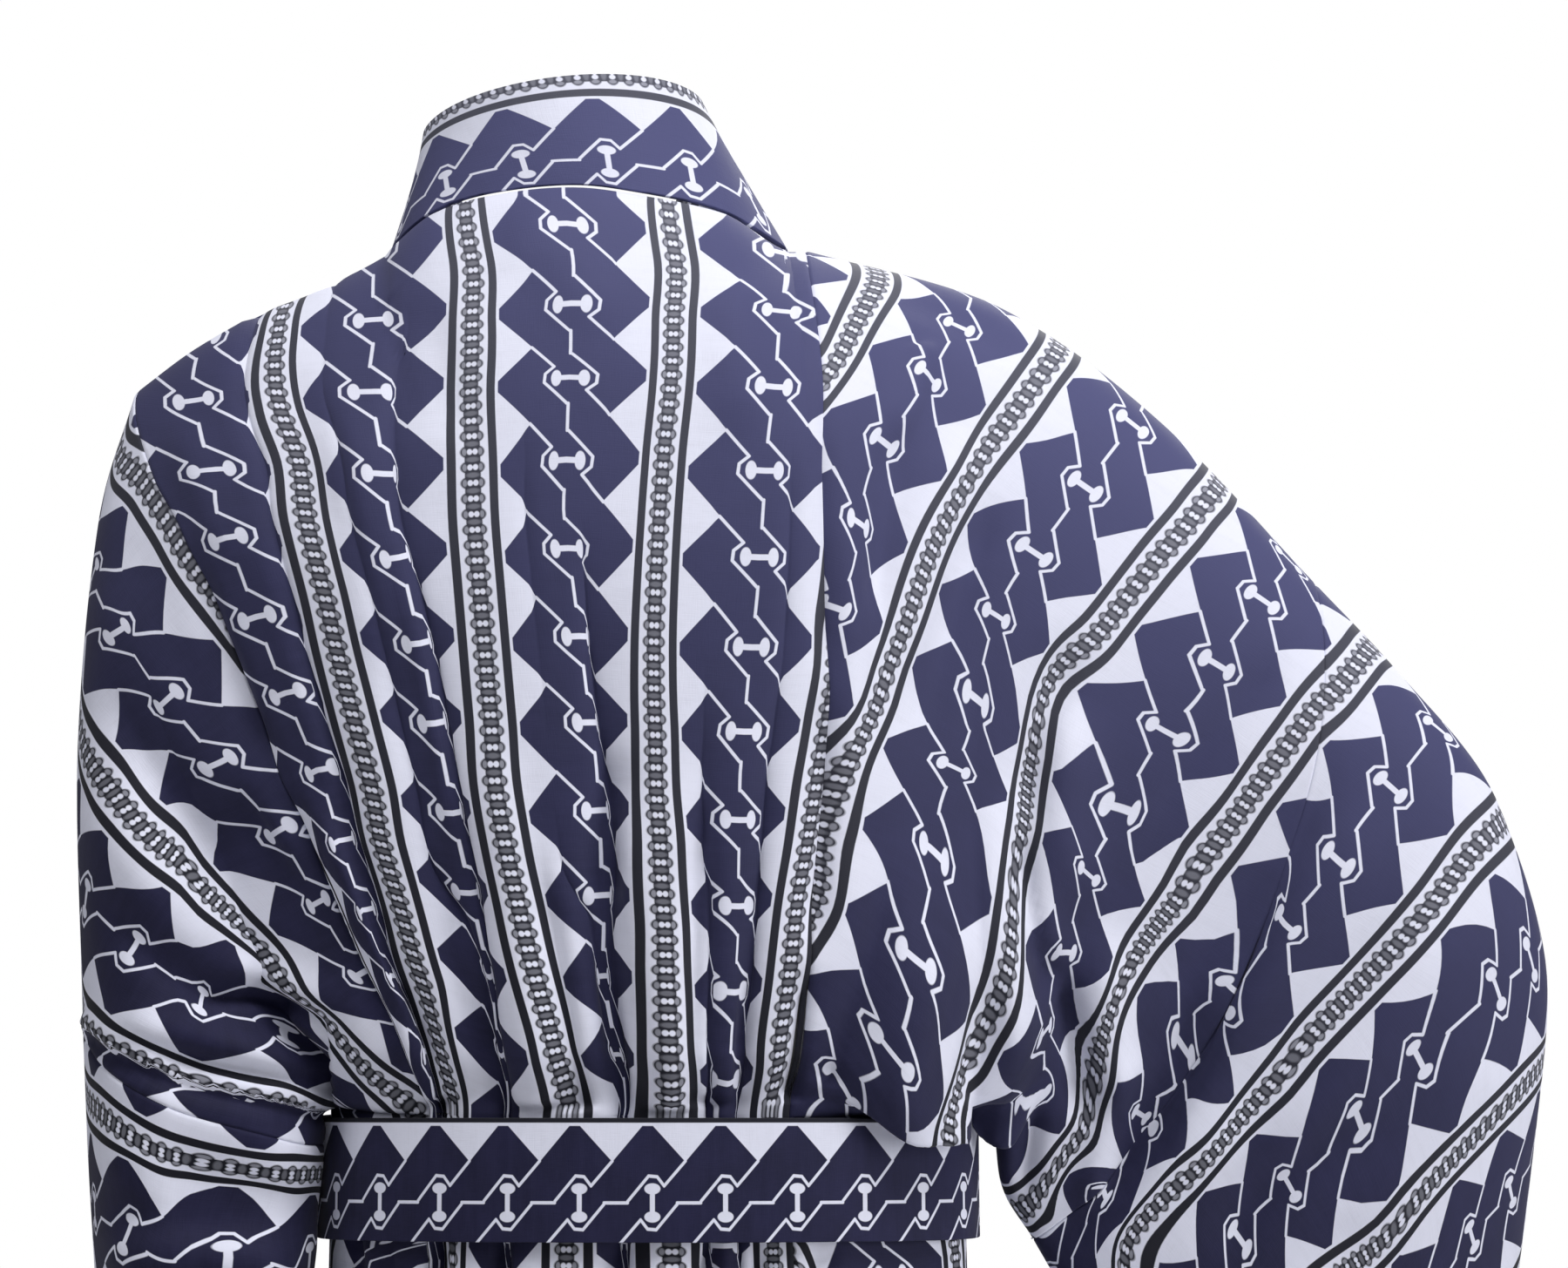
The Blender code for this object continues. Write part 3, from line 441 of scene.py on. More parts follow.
    def chest_y(self, side: Side, spot: Array, seam_z: Array) -> Array:
        """Depth of the cloth of a front under points of the collar."""
        outer = self.outer_amount(seam_z) if side is Side.LEFT else 0.0
        x, z = spot[..., 0], spot[..., 2]
        section = self.body(self.angle_at(x, z, False), z, outer)[..., 1]
        depth = np.where(seam_z <= UNDERARM_Z, section, self.round_over(0.0, section, 0.0037 - z))
        inside = (np.abs(x) < self.neck_radius) & (seam_z > -0.15)
        throat = -np.sqrt(np.maximum(self.neck_radius ** 2 - x ** 2, 0.0))
        return np.where(inside, np.minimum(depth, throat), depth)

    def collar_front(self, side: Side, seam: Array, reach: Array) -> Array:
        """Points of the collar on the chest: flat below, standing at the neck."""
        standing = np.array((-0.0165, 0.0, 0.0480) if side is Side.LEFT else (0.0365, 0.0, 0.0600))
        step, z = 0.004, seam[..., 2]
        name = "edge_" + side.value
        rise = SEAMS.at(name, z + step) - SEAMS.at(name, z)
        line = unit(stack(rise, 0.0 * z, step + 0.0 * z))
        lying = stack(-side.sign * line[..., 2], 0.0 * z, side.sign * line[..., 0]) * self.collar_width
        run = np.clip((0.002 - z) / 0.060, 0.0, 1.0)
        run = (run * run * (3.0 - 2.0 * run))[..., None]
        across = lerp(standing, lying, run)
        reach = reach[..., None]
        straight = lerp(seam[..., 1], self.chest_y(side, seam + across, z), reach[..., 0])
        spot = seam + across * reach
        spot[..., 2] += (1.0 - run[..., 0]) * self.collar_lift
        on_chest = lerp(seam[..., 1], self.chest_y(side, spot, z), np.minimum(1.0, reach[..., 0] * 3.0))
        spot[..., 1] = lerp(straight, on_chest, run[..., 0])
        return spot

    def belt(self, angle: Array, share: Array) -> Array:
        """Points of the belt's outer face; share runs from its lower to its upper edge."""
        z = self.belt_z - self.belt_dip * (1.0 - np.cos(angle)) * 0.9 + self.belt_width * (share - 0.5)
        level = np.clip(z, -0.430, -0.352)
        base = self.body(angle, level, self.overlap_depth)
        push = self.gather(angle, level)
        base = base - stack(push * np.sin(angle), push * np.cos(angle), 0.0 * push)
        out = unit(stack(base[..., 0] - SECTIONS.at("xc", level), base[..., 1], 0.0 * push))
        points = base + out * self.belt_clear
        points[..., 2] = z
        return points


# ------------------------------------------------------------------ node arithmetic
class Signal:
    """A number inside a node tree, which Python arithmetic extends with Math nodes."""

    def __init__(self, tree: bpy.types.NodeTree, socket: Socket) -> None:
        """Wrap an output socket of a tree."""
        self.tree = tree
        self.socket = socket

    def math(self, operation: str, *others: "Signal | float", clamp: bool = False) -> "Signal":
        """Add one Math node that starts from this number.

        Args:
            operation: The node's operation.
            others: Its other inputs, signals or plain numbers.
            clamp: Whether the result is held between 0 and 1.

        Returns:
            The node's result.
        """
        node = self.tree.nodes.new("ShaderNodeMath")
        node.operation = operation
        node.use_clamp = clamp
        self.tree.links.new(self.socket, node.inputs[0])
        for place, other in enumerate(others, start=1):
            if isinstance(other, Signal):
                self.tree.links.new(other.socket, node.inputs[place])
            else:
                node.inputs[place].default_value = float(other)
        return Signal(self.tree, node.outputs[0])

    def __add__(self, other: "Signal | float") -> "Signal":
        """Sum."""
        return self.math("ADD", other)

    def __sub__(self, other: "Signal | float") -> "Signal":
        """Difference."""
        return self.math("SUBTRACT", other)

    def __mul__(self, other: "Signal | float") -> "Signal":
        """Product."""
        return self.math("MULTIPLY", other)

    def scaled(self, factor: float, start: float) -> "Signal":
        """This number times a factor, plus a start."""
        return self.math("MULTIPLY_ADD", factor, start)

    def least(self, other: "Signal | float") -> "Signal":
        """The smaller of two."""
        return self.math("MINIMUM", other)

    def most(self, other: "Signal | float") -> "Signal":
        """The larger of two."""
        return self.math("MAXIMUM", other)

    def size(self) -> "Signal":
        """The number without its sign."""
        return self.math("ABSOLUTE")

    def around(self, period: float) -> "Signal":
        """Distance to the nearest multiple of a period, with its sign."""
        return self.math("WRAP", period / 2.0, -period / 2.0)

    def inked(self, softness: float) -> "Signal":
        """1 where this depth inside a shape is positive, with a slightly soft edge."""
        return self.math("MULTIPLY_ADD", 0.5 / softness, 0.5, clamp=True)


def length_of(a: Signal, b: Signal) -> Signal:
    """Length of a plane vector."""
    return (b * b + a * a).math("SQRT")


def group_tree(name: str, inputs: dict[str, str], outputs: dict[str, str]) -> tuple:
    """Start a shader node group with named sockets.

    Args:
        name: Name of the group.
        inputs: Socket type for each input name.
        outputs: Socket type for each output name.

    Returns:
        The tree, its input node and its output node.
    """
    tree = bpy.data.node_groups.new(name, "ShaderNodeTree")
    for label, kind in inputs.items():
        tree.interface.new_socket(name=label, in_out="INPUT", socket_type=kind)
    for label, kind in outputs.items():
        tree.interface.new_socket(name=label, in_out="OUTPUT", socket_type=kind)
    return tree, tree.nodes.new("NodeGroupInput"), tree.nodes.new("NodeGroupOutput")


# The print's own measures, in millimetres.
BAR_PITCH = 36.7
PRINT_SHIFT = 44.0


@dataclass(frozen=True)
class ChainPrint:
    """The printed repeat of bold linked bands between fine curb chains, in millimetres."""

    repeat: float = 88.0
    pitch: float = BAR_PITCH
    line: float = 1.35
    tip: float = 31.8
    tip_top: float = -0.3
    tip_low: float = 5.0
    notch: float = 17.0
    rise_top: float = 1.10
    rise_low: float = 1.02
    bone_half: float = 5.8
    bone_end: tuple[float, float] = (2.3, 4.0)
    bone_stem: float = 1.25
    rule_at: float = 35.0
    rule: float = 3.8
    curb_pitch: float = 6.67
    curb: tuple[float, float] = (5.3, 3.15)
    curb_waist: float = 3.45
    eye_at: float = 1.2
    eye: tuple[float, float] = (1.15, 1.25)
    eye_slit: float = 0.5
    lobe_at: float = 3.5
    lobe: tuple[float, float] = (0.95, 1.5)
    lobe_light: float = 0.33
    joint: tuple[float, float] = (2.8, 1.1)
    joint_light: float = 0.17
    softness: float = 0.16
    outline: tuple[tuple[float, float], ...] = (
        (-17.3, -16.6), (-7.0, -5.9), (-10.8, -2.4), (-11.1, 1.9), (-0.6, 12.4))

    def stroke(self, u: Signal, v: Signal, a: tuple, b: tuple) -> Signal:
        """Squared distance to the straight stroke from a to b."""
        run, drop = b[0] - a[0], b[1] - a[1]
        square = run * run + drop * drop
        from_a = v.math("MULTIPLY_ADD", drop / square, -(a[0] * run + a[1] * drop) / square)
        share = u.math("MULTIPLY_ADD", run / square, from_a, clamp=True)
        du = share.math("MULTIPLY_ADD", -run, u - a[0])
        dv = share.math("MULTIPLY_ADD", -drop, v - a[1])
        return du.math("MULTIPLY_ADD", du, dv * dv)

    def build(self) -> bpy.types.NodeTree:
        """Make the group: cloth place in, masks of the two inks out."""
        tree, inlet, outlet = group_tree(
            "chain_print", {"Place": "NodeSocketVector"},
            {"Navy": "NodeSocketFloat", "Dark": "NodeSocketFloat"})
        split = tree.nodes.new("ShaderNodeSeparateXYZ")
        tree.links.new(inlet.outputs["Place"], split.inputs[0])
        across = Signal(tree, split.outputs[0]) * 1000.0
        along = Signal(tree, split.outputs[1]) * 1000.0
        u = across.around(self.repeat)
        v = along.around(self.pitch)
        flip = u.math("SIGN")
        fold_u = u.size() * -1.0
        fold_v = v * flip * -1.0

        top = (fold_v - fold_u.scaled(-self.rise_top, self.tip_top - self.rise_top * self.tip))
        top = top * (1.0 / math.hypot(1.0, self.rise_top))
        low_start = self.tip_low + self.rise_low * self.tip
        flat = 1.0 / math.hypot(1.0, self.rise_low)
        low = (fold_u.scaled(self.rise_low, low_start) - fold_v) * flat
        before = (fold_u.scaled(self.rise_low, low_start - self.pitch) - fold_v) * flat
        link = top.least(low).most(before).least(fold_u + self.tip)
        link = link.most(fold_u + self.notch)

        strokes = [self.stroke(fold_u, fold_v, a, b) for a, b in zip(self.outline, self.outline[1:])]
        nearest = strokes[0]
        for stroke in strokes[1:]:
            nearest = nearest.least(stroke)
        bar_v = (fold_v.size() * -1.0 + self.outline[-1][1]).most(0.0)
        bar = fold_u.math("MULTIPLY_ADD", fold_u, bar_v * bar_v)
        nearest = nearest.least(bar).math("SQRT")
        white = (nearest * -1.0 + self.line / 2.0).inked(self.softness)

        end_u = (fold_u + self.bone_half) * (1.0 / self.bone_end[0])
        end_v = fold_v * (1.0 / self.bone_end[1])
        ends = (length_of(end_u, end_v) * -1.0 + 1.0) * self.bone_end[0]
        stem = (fold_v.size() * -1.0 + self.bone_stem).least(fold_u + self.bone_half)
        bone = ends.most(stem).inked(self.softness)

        navy = link.inked(self.softness)
        navy = navy * (white * -1.0 + 1.0) * (bone * -1.0 + 1.0)

        rule = ((fold_u + self.rule_at).size() * -1.0 + self.rule / 2.0).inked(self.softness)
        chain_u = fold_u + self.repeat / 2.0
        chain_v = along.around(self.curb_pitch)
        apart = chain_u.size()
        reach = length_of(chain_u * (1.0 / self.curb[0]), chain_v * (1.0 / self.curb[1]))
        ring = (reach * -1.0 + 1.0) * self.curb[1]
        body = ring.most(apart * -1.0 + self.curb_waist).inked(self.softness * 1.6)

        def spot(at: float, size: tuple[float, float]) -> Signal:
            """A pair of small ovals, one on either side of the chain's middle."""
            spot_u, spot_v = (apart - at) * (1.0 / size[0]), chain_v * (1.0 / size[1])
            return (length_of(spot_u, spot_v) * -1.0 + 1.0) * size[0]

        slit = (chain_v.size() * -1.0 + self.eye_slit).least(apart * -1.0 + self.eye_at)
        eye = spot(self.eye_at, self.eye).most(slit).inked(self.softness * 1.6)
        lobe = spot(self.lobe_at, self.lobe).inked(self.softness * 1.6) * self.lobe_light
        joint_u = chain_u * (1.0 / self.joint[0])
        joint_v = (chain_v.size() - self.curb_pitch / 2.0) * (1.0 / self.joint[1])
        joint = ((length_of(joint_u, joint_v) * -1.0 + 1.0) * self.joint[1]).inked(self.softness * 2.0)
        curb = body * (eye.most(lobe).most(joint * self.joint_light) * -1.0 + 1.0)
        dark = rule.most(curb)
        tree.links.new(navy.socket, outlet.inputs["Navy"])
        tree.links.new(dark.socket, outlet.inputs["Dark"])
        return tree


@dataclass(frozen=True)
class CottonWeave:
    """The plain weave of slightly uneven cotton thread, sizes in threads a metre."""

    fine: float = 1900.0
    slub: float = 260.0
    crumple: float = 42.0

    def build(self) -> bpy.types.NodeTree:
        """Make the group: cloth place in, tone and height of the threads out."""
        tree, inlet, outlet = group_tree(
            "cotton_weave", {"Place": "NodeSocketVector"},
            {"Tone": "NodeSocketFloat", "Threads": "NodeSocketFloat", "Crumple": "NodeSocketFloat"})

        def streaks(scale: tuple[float, float, float], detail: float) -> Signal:
            """Noise drawn out along one direction of the cloth."""
            stretch = tree.nodes.new("ShaderNodeVectorMath")
            stretch.operation = "MULTIPLY"
            stretch.inputs[1].default_value = scale
            noise = tree.nodes.new("ShaderNodeTexNoise")
            noise.inputs["Scale"].default_value = 1.0
            noise.inputs["Detail"].default_value = detail
            tree.links.new(inlet.outputs["Place"], stretch.inputs[0])
            tree.links.new(stretch.outputs[0], noise.inputs["Vector"])
            return Signal(tree, noise.outputs["Fac"])

        warp = streaks((self.fine, self.fine / 14.0, 1.0), 1.0)
        weft = streaks((self.fine / 14.0, self.fine, 1.0), 1.0)
        slub = streaks((self.slub / 9.0, self.slub, 1.0), 2.0)
        crumple = streaks((self.crumple, self.crumple * 0.6, 1.0), 3.0)
        threads = warp * 0.5 + weft * 0.5
        tone = threads * 0.55 + slub * 0.45
        tree.links.new(tone.socket, outlet.inputs["Tone"])
        tree.links.new(threads.socket, outlet.inputs["Threads"])
        tree.links.new(crumple.socket, outlet.inputs["Crumple"])
        return tree


@dataclass(frozen=True)
class PrintedCotton:
    """The finish of the robe's cloth, printed face or paler reverse, its inks lightened by a painted glare
    towards the top and the wearer's right.
    """

    name: str
    ground: tuple[float, float, float] = (0.70, 0.72, 0.86)
    navy: tuple[float, float, float] = (0.0080, 0.0083, 0.0290)
    navy_lit: tuple[float, float, float] = (0.0125, 0.0125, 0.0450)
    # Painted glare: the next two colours and the three numbers below pale the navy and the dark ink towards
    # the top and the wearer's right. They stand in for the haze that the light from above lays on the dark
    # cloth.
    navy_painted_glare: tuple[float, float, float] = (0.0730, 0.0770, 0.1800)
    dark: tuple[float, float, float] = (0.0070, 0.0075, 0.0140)
    dark_painted_glare: tuple[float, float, float] = (0.0760, 0.0790, 0.1080)
    painted_glare_slope: float = 0.45
    painted_glare_from: float = -0.46
    painted_glare_over: float = 0.50
    strength: float = 1.0
    roughness: float = 0.72
    sheen: float = 0.05

    def build(self, printed: bpy.types.NodeTree, weave: bpy.types.NodeTree) -> bpy.types.Material:
        """Make the material from the two shared groups.

        Args:
            printed: The group of the printed repeat.
            weave: The group of the threads.

        Returns:
            The material.
        """
        material = bpy.data.materials.new(self.name)
        material.use_nodes = True
        tree = material.node_tree
        shader = tree.nodes["Principled BSDF"]
        place = tree.nodes.new("ShaderNodeUVMap")
        place.uv_map = "cloth"

        def group(inner: bpy.types.NodeTree) -> bpy.types.ShaderNode:
            """Place one shared group, fed with the cloth's own map."""
            node = tree.nodes.new("ShaderNodeGroup")
            node.node_tree = inner
            tree.links.new(place.outputs["UV"], node.inputs["Place"])
            return node

        def blend(factor: Socket, a: Socket | tuple, b: Socket | tuple) -> Socket:
            """Mix two colours."""
            node = tree.nodes.new("ShaderNodeMix")
            node.data_type = "RGBA"
            tree.links.new(factor, node.inputs["Factor"])
            for socket, colour in ((node.inputs["A"], a), (node.inputs["B"], b)):
                if isinstance(colour, tuple):
                    socket.default_value = (*colour, 1.0)
                else:
                    tree.links.new(colour, socket)
            return node.outputs["Result"]

        inks, threads = group(printed), group(weave)
        clouds = tree.nodes.new("ShaderNodeTexNoise")
        clouds.inputs["Scale"].default_value = 34.0
        clouds.inputs["Detail"].default_value = 3.0
        tree.links.new(place.outputs["UV"], clouds.inputs["Vector"])
        spread = Signal(tree, clouds.outputs["Fac"]).math("MULTIPLY_ADD", 2.6, -0.8, clamp=True)
        navy = blend(spread.socket, self.navy, self.navy_lit)
        worn = Signal(tree, threads.outputs["Tone"])
        lighter = worn.math("MULTIPLY_ADD", 0.50, -0.19, clamp=True)
        navy = blend(lighter.socket, navy, (0.05, 0.05, 0.12))
        darker = worn.math("MULTIPLY_ADD", -0.9, 0.47, clamp=True)
        ground = blend(darker.socket, self.ground, tuple(0.72 * part for part in self.ground))
        # Painted glare: the navy and dark inks grow paler along a slope that rises towards the top and the
        # wearer's right, in place of the light from above.
        body = tree.nodes.new("ShaderNodeTexCoord")
        split = tree.nodes.new("ShaderNodeSeparateXYZ")
        tree.links.new(body.outputs["Object"], split.inputs[0])
        up_right = Signal(tree, split.outputs[0]).math(
            "MULTIPLY_ADD", -self.painted_glare_slope, Signal(tree, split.outputs[2]))
        painted_glare = (up_right - self.painted_glare_from).math("MULTIPLY", 1.0 / self.painted_glare_over, clamp=True)
        painted_glare = painted_glare * painted_glare
        navy = blend(painted_glare.socket, navy, self.navy_painted_glare)
        dark = blend(painted_glare.socket, self.dark, self.dark_painted_glare)
        navy_mask = Signal(tree, inks.outputs["Navy"]) * self.strength
        dark_mask = Signal(tree, inks.outputs["Dark"]) * self.strength
        colour = blend(navy_mask.socket, ground, navy)
        colour = blend(dark_mask.socket, colour, dark)
        tree.links.new(colour, shader.inputs["Base Color"])
        rough = worn.math("MULTIPLY_ADD", 0.22, self.roughness - 0.11)
        tree.links.new(rough.socket, shader.inputs["Roughness"])
        shader.inputs["Sheen Weight"].default_value = self.sheen
        shader.inputs["Sheen Roughness"].default_value = 0.45
        shader.inputs["Specular IOR Level"].default_value = 0.16
        height = Signal(tree, threads.outputs["Threads"]) * 0.00022
        height = Signal(tree, threads.outputs["Crumple"]).math("MULTIPLY_ADD", 0.0011, height)
        bump = tree.nodes.new("ShaderNodeBump")
        bump.inputs["Strength"].default_value = 0.55
        bump.inputs["Distance"].default_value = 1.0
        tree.links.new(height.socket, bump.inputs["Height"])
        tree.links.new(bump.outputs["Normal"], shader.inputs["Normal"])
        material.diffuse_color = (*self.navy_lit, 1.0)
        return material


# ------------------------------------------------------------------ cloth as a grid
def lengths(places: Array, axis: int) -> Array:
    """Distance along the cloth from the first row or column to each place.

    Args:
        places: Rows by columns of points.
        axis: 0 to go down the rows, 1 to go across the columns.

    Returns:
        Rows by columns of distances.
    """
    steps = np.linalg.norm(np.diff(places, axis=axis), axis=-1)
    first = np.zeros_like(np.take(places[..., 0], [0], axis=axis))
    return np.concatenate([first, np.cumsum(steps, axis=axis)], axis=axis)


def spaced(count: int, width: float, tuck_start: bool, tuck_end: bool) -> Array:
    """Shares from 0 to 1 across a strip, closer together beside a turned edge.

    Args:
        count: Even steps across the strip.
        width: Width of the strip in metres.
        tuck_start: Whether the first edge is turned in.
        tuck_end: Whether the last edge is turned in.

    Returns:
        The shares.
    """
    near = np.array([0.0005, 0.0011, 0.0020]) / width
    even = np.linspace(0.0, 1.0, count + 1)
    inner = even[(even > near[-1] * 1.6) & (even < 1.0 - near[-1] * 1.6)]
    start = near if tuck_start else near[:0]
    end = 1.0 - near[::-1] if tuck_end else near[:0]
    return np.concatenate([[0.0], start, inner, end, [1.0]])


def tuck(distance: Array, depth: float = 0.0012) -> Array:
    """How far the cloth turns in at a distance from a seamed edge."""
    return depth * np.exp(-(np.maximum(distance, 0.0) / 0.0007) ** 1.3)


@dataclass
class Cloth:
    """A strip of cloth as a grid of places, and the part of the print at each."""

    places: Array
    print_at: Array
    facing: float = 1.0
    kept: Array | None = None
    turned: tuple[int, int] = (0, 0)

    def normals(self) -> Array:
        """Outward directions at the places."""
        across = np.gradient(self.places, axis=1)
        down = np.gradient(self.places, axis=0)
        found = unit(np.cross(across, down)) * self.facing
        first, last = self.turned
        if first:
            found[:first] = found[first + 1]
        if last:
            found[-last:] = found[-last - 2]
        return found

    def push(self, amount: Array) -> None:
        """Move the places outwards by an amount at each."""
        self.places = self.places + self.normals() * amount[..., None]

    def area(self) -> float:
        """Area of the cloth that is kept, in square metres."""
        a, b = self.places[1:, 1:] - self.places[:-1, :-1], self.places[1:, :-1] - self.places[:-1, 1:]
        cells = 0.5 * np.linalg.norm(np.cross(a, b), axis=-1)
        if self.kept is not None:
            cells = cells * (self.kept[1:, 1:] & self.kept[:-1, :-1]
                             & self.kept[1:, :-1] & self.kept[:-1, 1:])
        return float(cells.sum())

    def object(self, name: str, wall: float, finishes: list[bpy.types.Material]) -> bpy.types.Object:
        """Build the strip as a thin wall of cloth.

        Args:
            name: Name of the piece.
            wall: Thickness of the cloth.
            finishes: Materials of the printed face and of the reverse.

        Returns:
            The new object.
        """
        rows, columns = self.places.shape[:2]
        builder = bmesh.new()
        layer = builder.loops.layers.uv.new("cloth")
        bmesh.ops.create_grid(builder, x_segments=columns - 1, y_segments=rows - 1, size=1.0)
        where = []
        for vert in builder.verts:
            i = round((vert.co.x + 1.0) / 2.0 * (columns - 1))
            j = round((vert.co.y + 1.0) / 2.0 * (rows - 1))
            where.append((j, i))
            vert.co = self.places[j, i]
        builder.verts.index_update()
        for face in builder.faces:
            face.smooth = True
            for loop in face.loops:
                loop[layer].uv = self.print_at[where[loop.vert.index]]
        if self.kept is not None:
            spare = [vert for vert in builder.verts if not self.kept[where[vert.index]]]
            bmesh.ops.delete(builder, geom=spare, context="VERTS")
        bmesh.ops.remove_doubles(builder, verts=builder.verts, dist=1e-6)
        if self.facing < 0.0:
            bmesh.ops.reverse_faces(builder, faces=builder.faces)
        mesh = bpy.data.meshes.new(name)
        builder.to_mesh(mesh)
        builder.free()
        for finish in finishes:
            mesh.materials.append(finish)
        piece = bpy.data.objects.new(name, mesh)
        bpy.context.scene.collection.objects.link(piece)
        solid = piece.modifiers.new("wall", "SOLIDIFY")
        solid.thickness = wall
        solid.offset = 0.0
        solid.use_even_offset = False
        solid.material_offset = len(finishes) - 1
        solid.use_rim = True
        return piece


@dataclass(frozen=True)
class Crease:
    """A fold line seen square on, in millimetres: three points, a width and a depth."""

    x0: float
    z0: float
    xm: float
    zm: float
    x1: float
    z1: float
    width: float
    depth: float
    lean: float = 0.0
    fade: tuple[float, float] = (0.28, 0.28)

    def measure(self, x: Array, z: Array, reach: float) -> tuple[Array, Array, Array]:
        """Find how places lie beside the line.

        Args:
            x: Places across, in metres.
            z: Heights, in metres.
            reach: How far from the line matters, in metres.

        Returns:
            Which places are near, their distance with its sign, and their share of the run.
        """
        t = np.linspace(0.0, 1.0, 25)[:, None]
        a, b, c = (np.array(point) / 1000.0 for point in
                   ((self.x0, self.z0), (self.xm, self.zm), (self.x1, self.z1)))
        bend = 2.0 * b - 0.5 * (a + c)
        line = (1 - t) ** 2 * a + 2 * t * (1 - t) * bend + t ** 2 * c
        low, high = line.min(0) - reach, line.max(0) + reach
        near = (x > low[0]) & (x < high[0]) & (z > low[1]) & (z < high[1])
        spots = np.stack([x[near], z[near]], axis=-1)
        runs = np.diff(line, axis=0)
        from_start = spots[:, None] - line[None, :-1]
        along = np.clip((from_start * runs).sum(-1) / (runs ** 2).sum(-1), 0.0, 1.0)
        away = from_start - along[..., None] * runs
        gap = np.linalg.norm(away, axis=-1)
        nearest = gap.argmin(axis=1)
        pick = np.arange(len(spots))
        run, off = runs[nearest], away[pick, nearest]
        side = np.sign(run[:, 0] * off[:, 1] - run[:, 1] * off[:, 0])
        return near, side * gap[pick, nearest], (nearest + along[pick, nearest]) / len(runs)

    def taper(self, share: Array) -> Array:
        """How strong the crease is along its run."""
        return ramp(share, 0.0, self.fade[0]) * (1.0 - ramp(share, 1.0 - self.fade[1], 1.0))

    def rise(self, x: Array, z: Array) -> Array:
        """How far this crease lifts the cloth, in metres, negative in a furrow."""
        width = self.width / 1000.0
        near, gap, share = self.measure(x, z, 3.2 * width)
        lift = np.zeros(x.shape)
        flank = width * (1.0 + self.lean * np.sign(gap))
        lift[near] = self.depth / 1000.0 * np.exp(-(gap / flank) ** 2) * self.taper(share)
        return lift

    def beyond(self, x: Array, z: Array, reach: float = 0.040, sharp: float = 0.0008) -> Array:
        """Share of the places that lie on the far side of the line, 0 or 1 but for a narrow step."""
        near, gap, share = self.measure(x, z, reach)
        found = np.zeros(x.shape)
        found[near] = ramp(gap, -sharp, sharp) * self.taper(share)
        return found


def crease_lift(creases: tuple[Crease, ...], cloth: Cloth, toward: float) -> Array:
    """Lift of a set of creases on the cloth that faces along Y.

    Args:
        creases: The creases, seen from behind or from in front.
        cloth: The strip they lie on.
        toward: 1 for creases seen from behind the robe, -1 from in front.

    Returns:
        The lift at each place.
    """
    faces = ramp(cloth.normals()[..., 1] * toward, 0.02, 0.35)
    x, z = cloth.places[..., 0], cloth.places[..., 2]
    return sum((crease.rise(x, z) for crease in creases), np.zeros(x.shape)) * faces


def past_seam(cloth: Cloth) -> Array:
    """Where the print seen from behind already is the next width's, below the left sleeve's fold."""
    faces = ramp(cloth.normals()[..., 1], 0.02, 0.35)
    return SEAM_FOLD.beyond(cloth.places[..., 0], cloth.places[..., 2]) * faces


@dataclass(frozen=True)
class Sag:
    """Cloth that has slid from where the plain form has it: a box with soft sides and a move."""

    x: tuple[float, float, float, float]
    y: tuple[float, float]
    z: tuple[float, float, float, float]
    move: tuple[float, float, float]

    def shift(self, places: Array) -> Array:
        """How far each place moves."""
        x, y, z = np.moveaxis(places, -1, 0)
        weight = ramp(y, *self.y)
        for value, box in ((x, self.x), (z, self.z)):
            weight = weight * ramp(value, box[0], box[1]) * (1.0 - ramp(value, box[2], box[3]))
        return weight[..., None] * np.array(self.move)


@dataclass(frozen=True)
class Sight:
    """The view from behind that places are read in: a frame of 1800 by 1456 pixels."""

    eye: tuple[float, float, float] = (-0.0925, 2.4, -0.1584)
    pixel: float = 0.00037
    middle: tuple[float, float] = (900.0, 728.0)

    def spots(self, places: Array) -> Array:
        """Where places of the robe stand in the frame."""
        scale = self.eye[1] / (self.eye[1] - places[..., 1]) / self.pixel
        across = self.middle[0] - (places[..., 0] - self.eye[0]) * scale
        down = self.middle[1] - (places[..., 2] - self.eye[2]) * scale
        return np.stack([across, down], axis=-1)


SIGHT = Sight()


@dataclass(frozen=True)
class Route:
    """A line of the print as it runs over an arm, in pixels of the frame from behind.

    A stripe is a few points along its middle. A chain's points are its bars, one after
    the other, and first is the number of the first one.
    """

    cloth: float
    points: tuple[tuple[int, int], ...]
    first: int | None = None
    step: float = 45.0

    def samples(self) -> list[tuple[Array, float]]:
        """Spots of the frame, each with its place along the print where that is known."""
        points = np.array(self.points, dtype=float)
        if self.first is not None:
            return [(point, (self.first + k) * BAR_PITCH) for k, point in enumerate(points)]
        found = []
        for a, b in zip(points, points[1:]):
            count = max(1, round(float(np.hypot(*(b - a))) / self.step))
            found += [(lerp(a, b, k / count), math.nan) for k in range(count)]
        return found + [(points[-1], math.nan)]


# Columns and rows of the even grids that the print is laid on.
STRIP_COLUMNS = 91
SLEEVE_COLUMNS = 101
SLEEVE_ROWS = 225


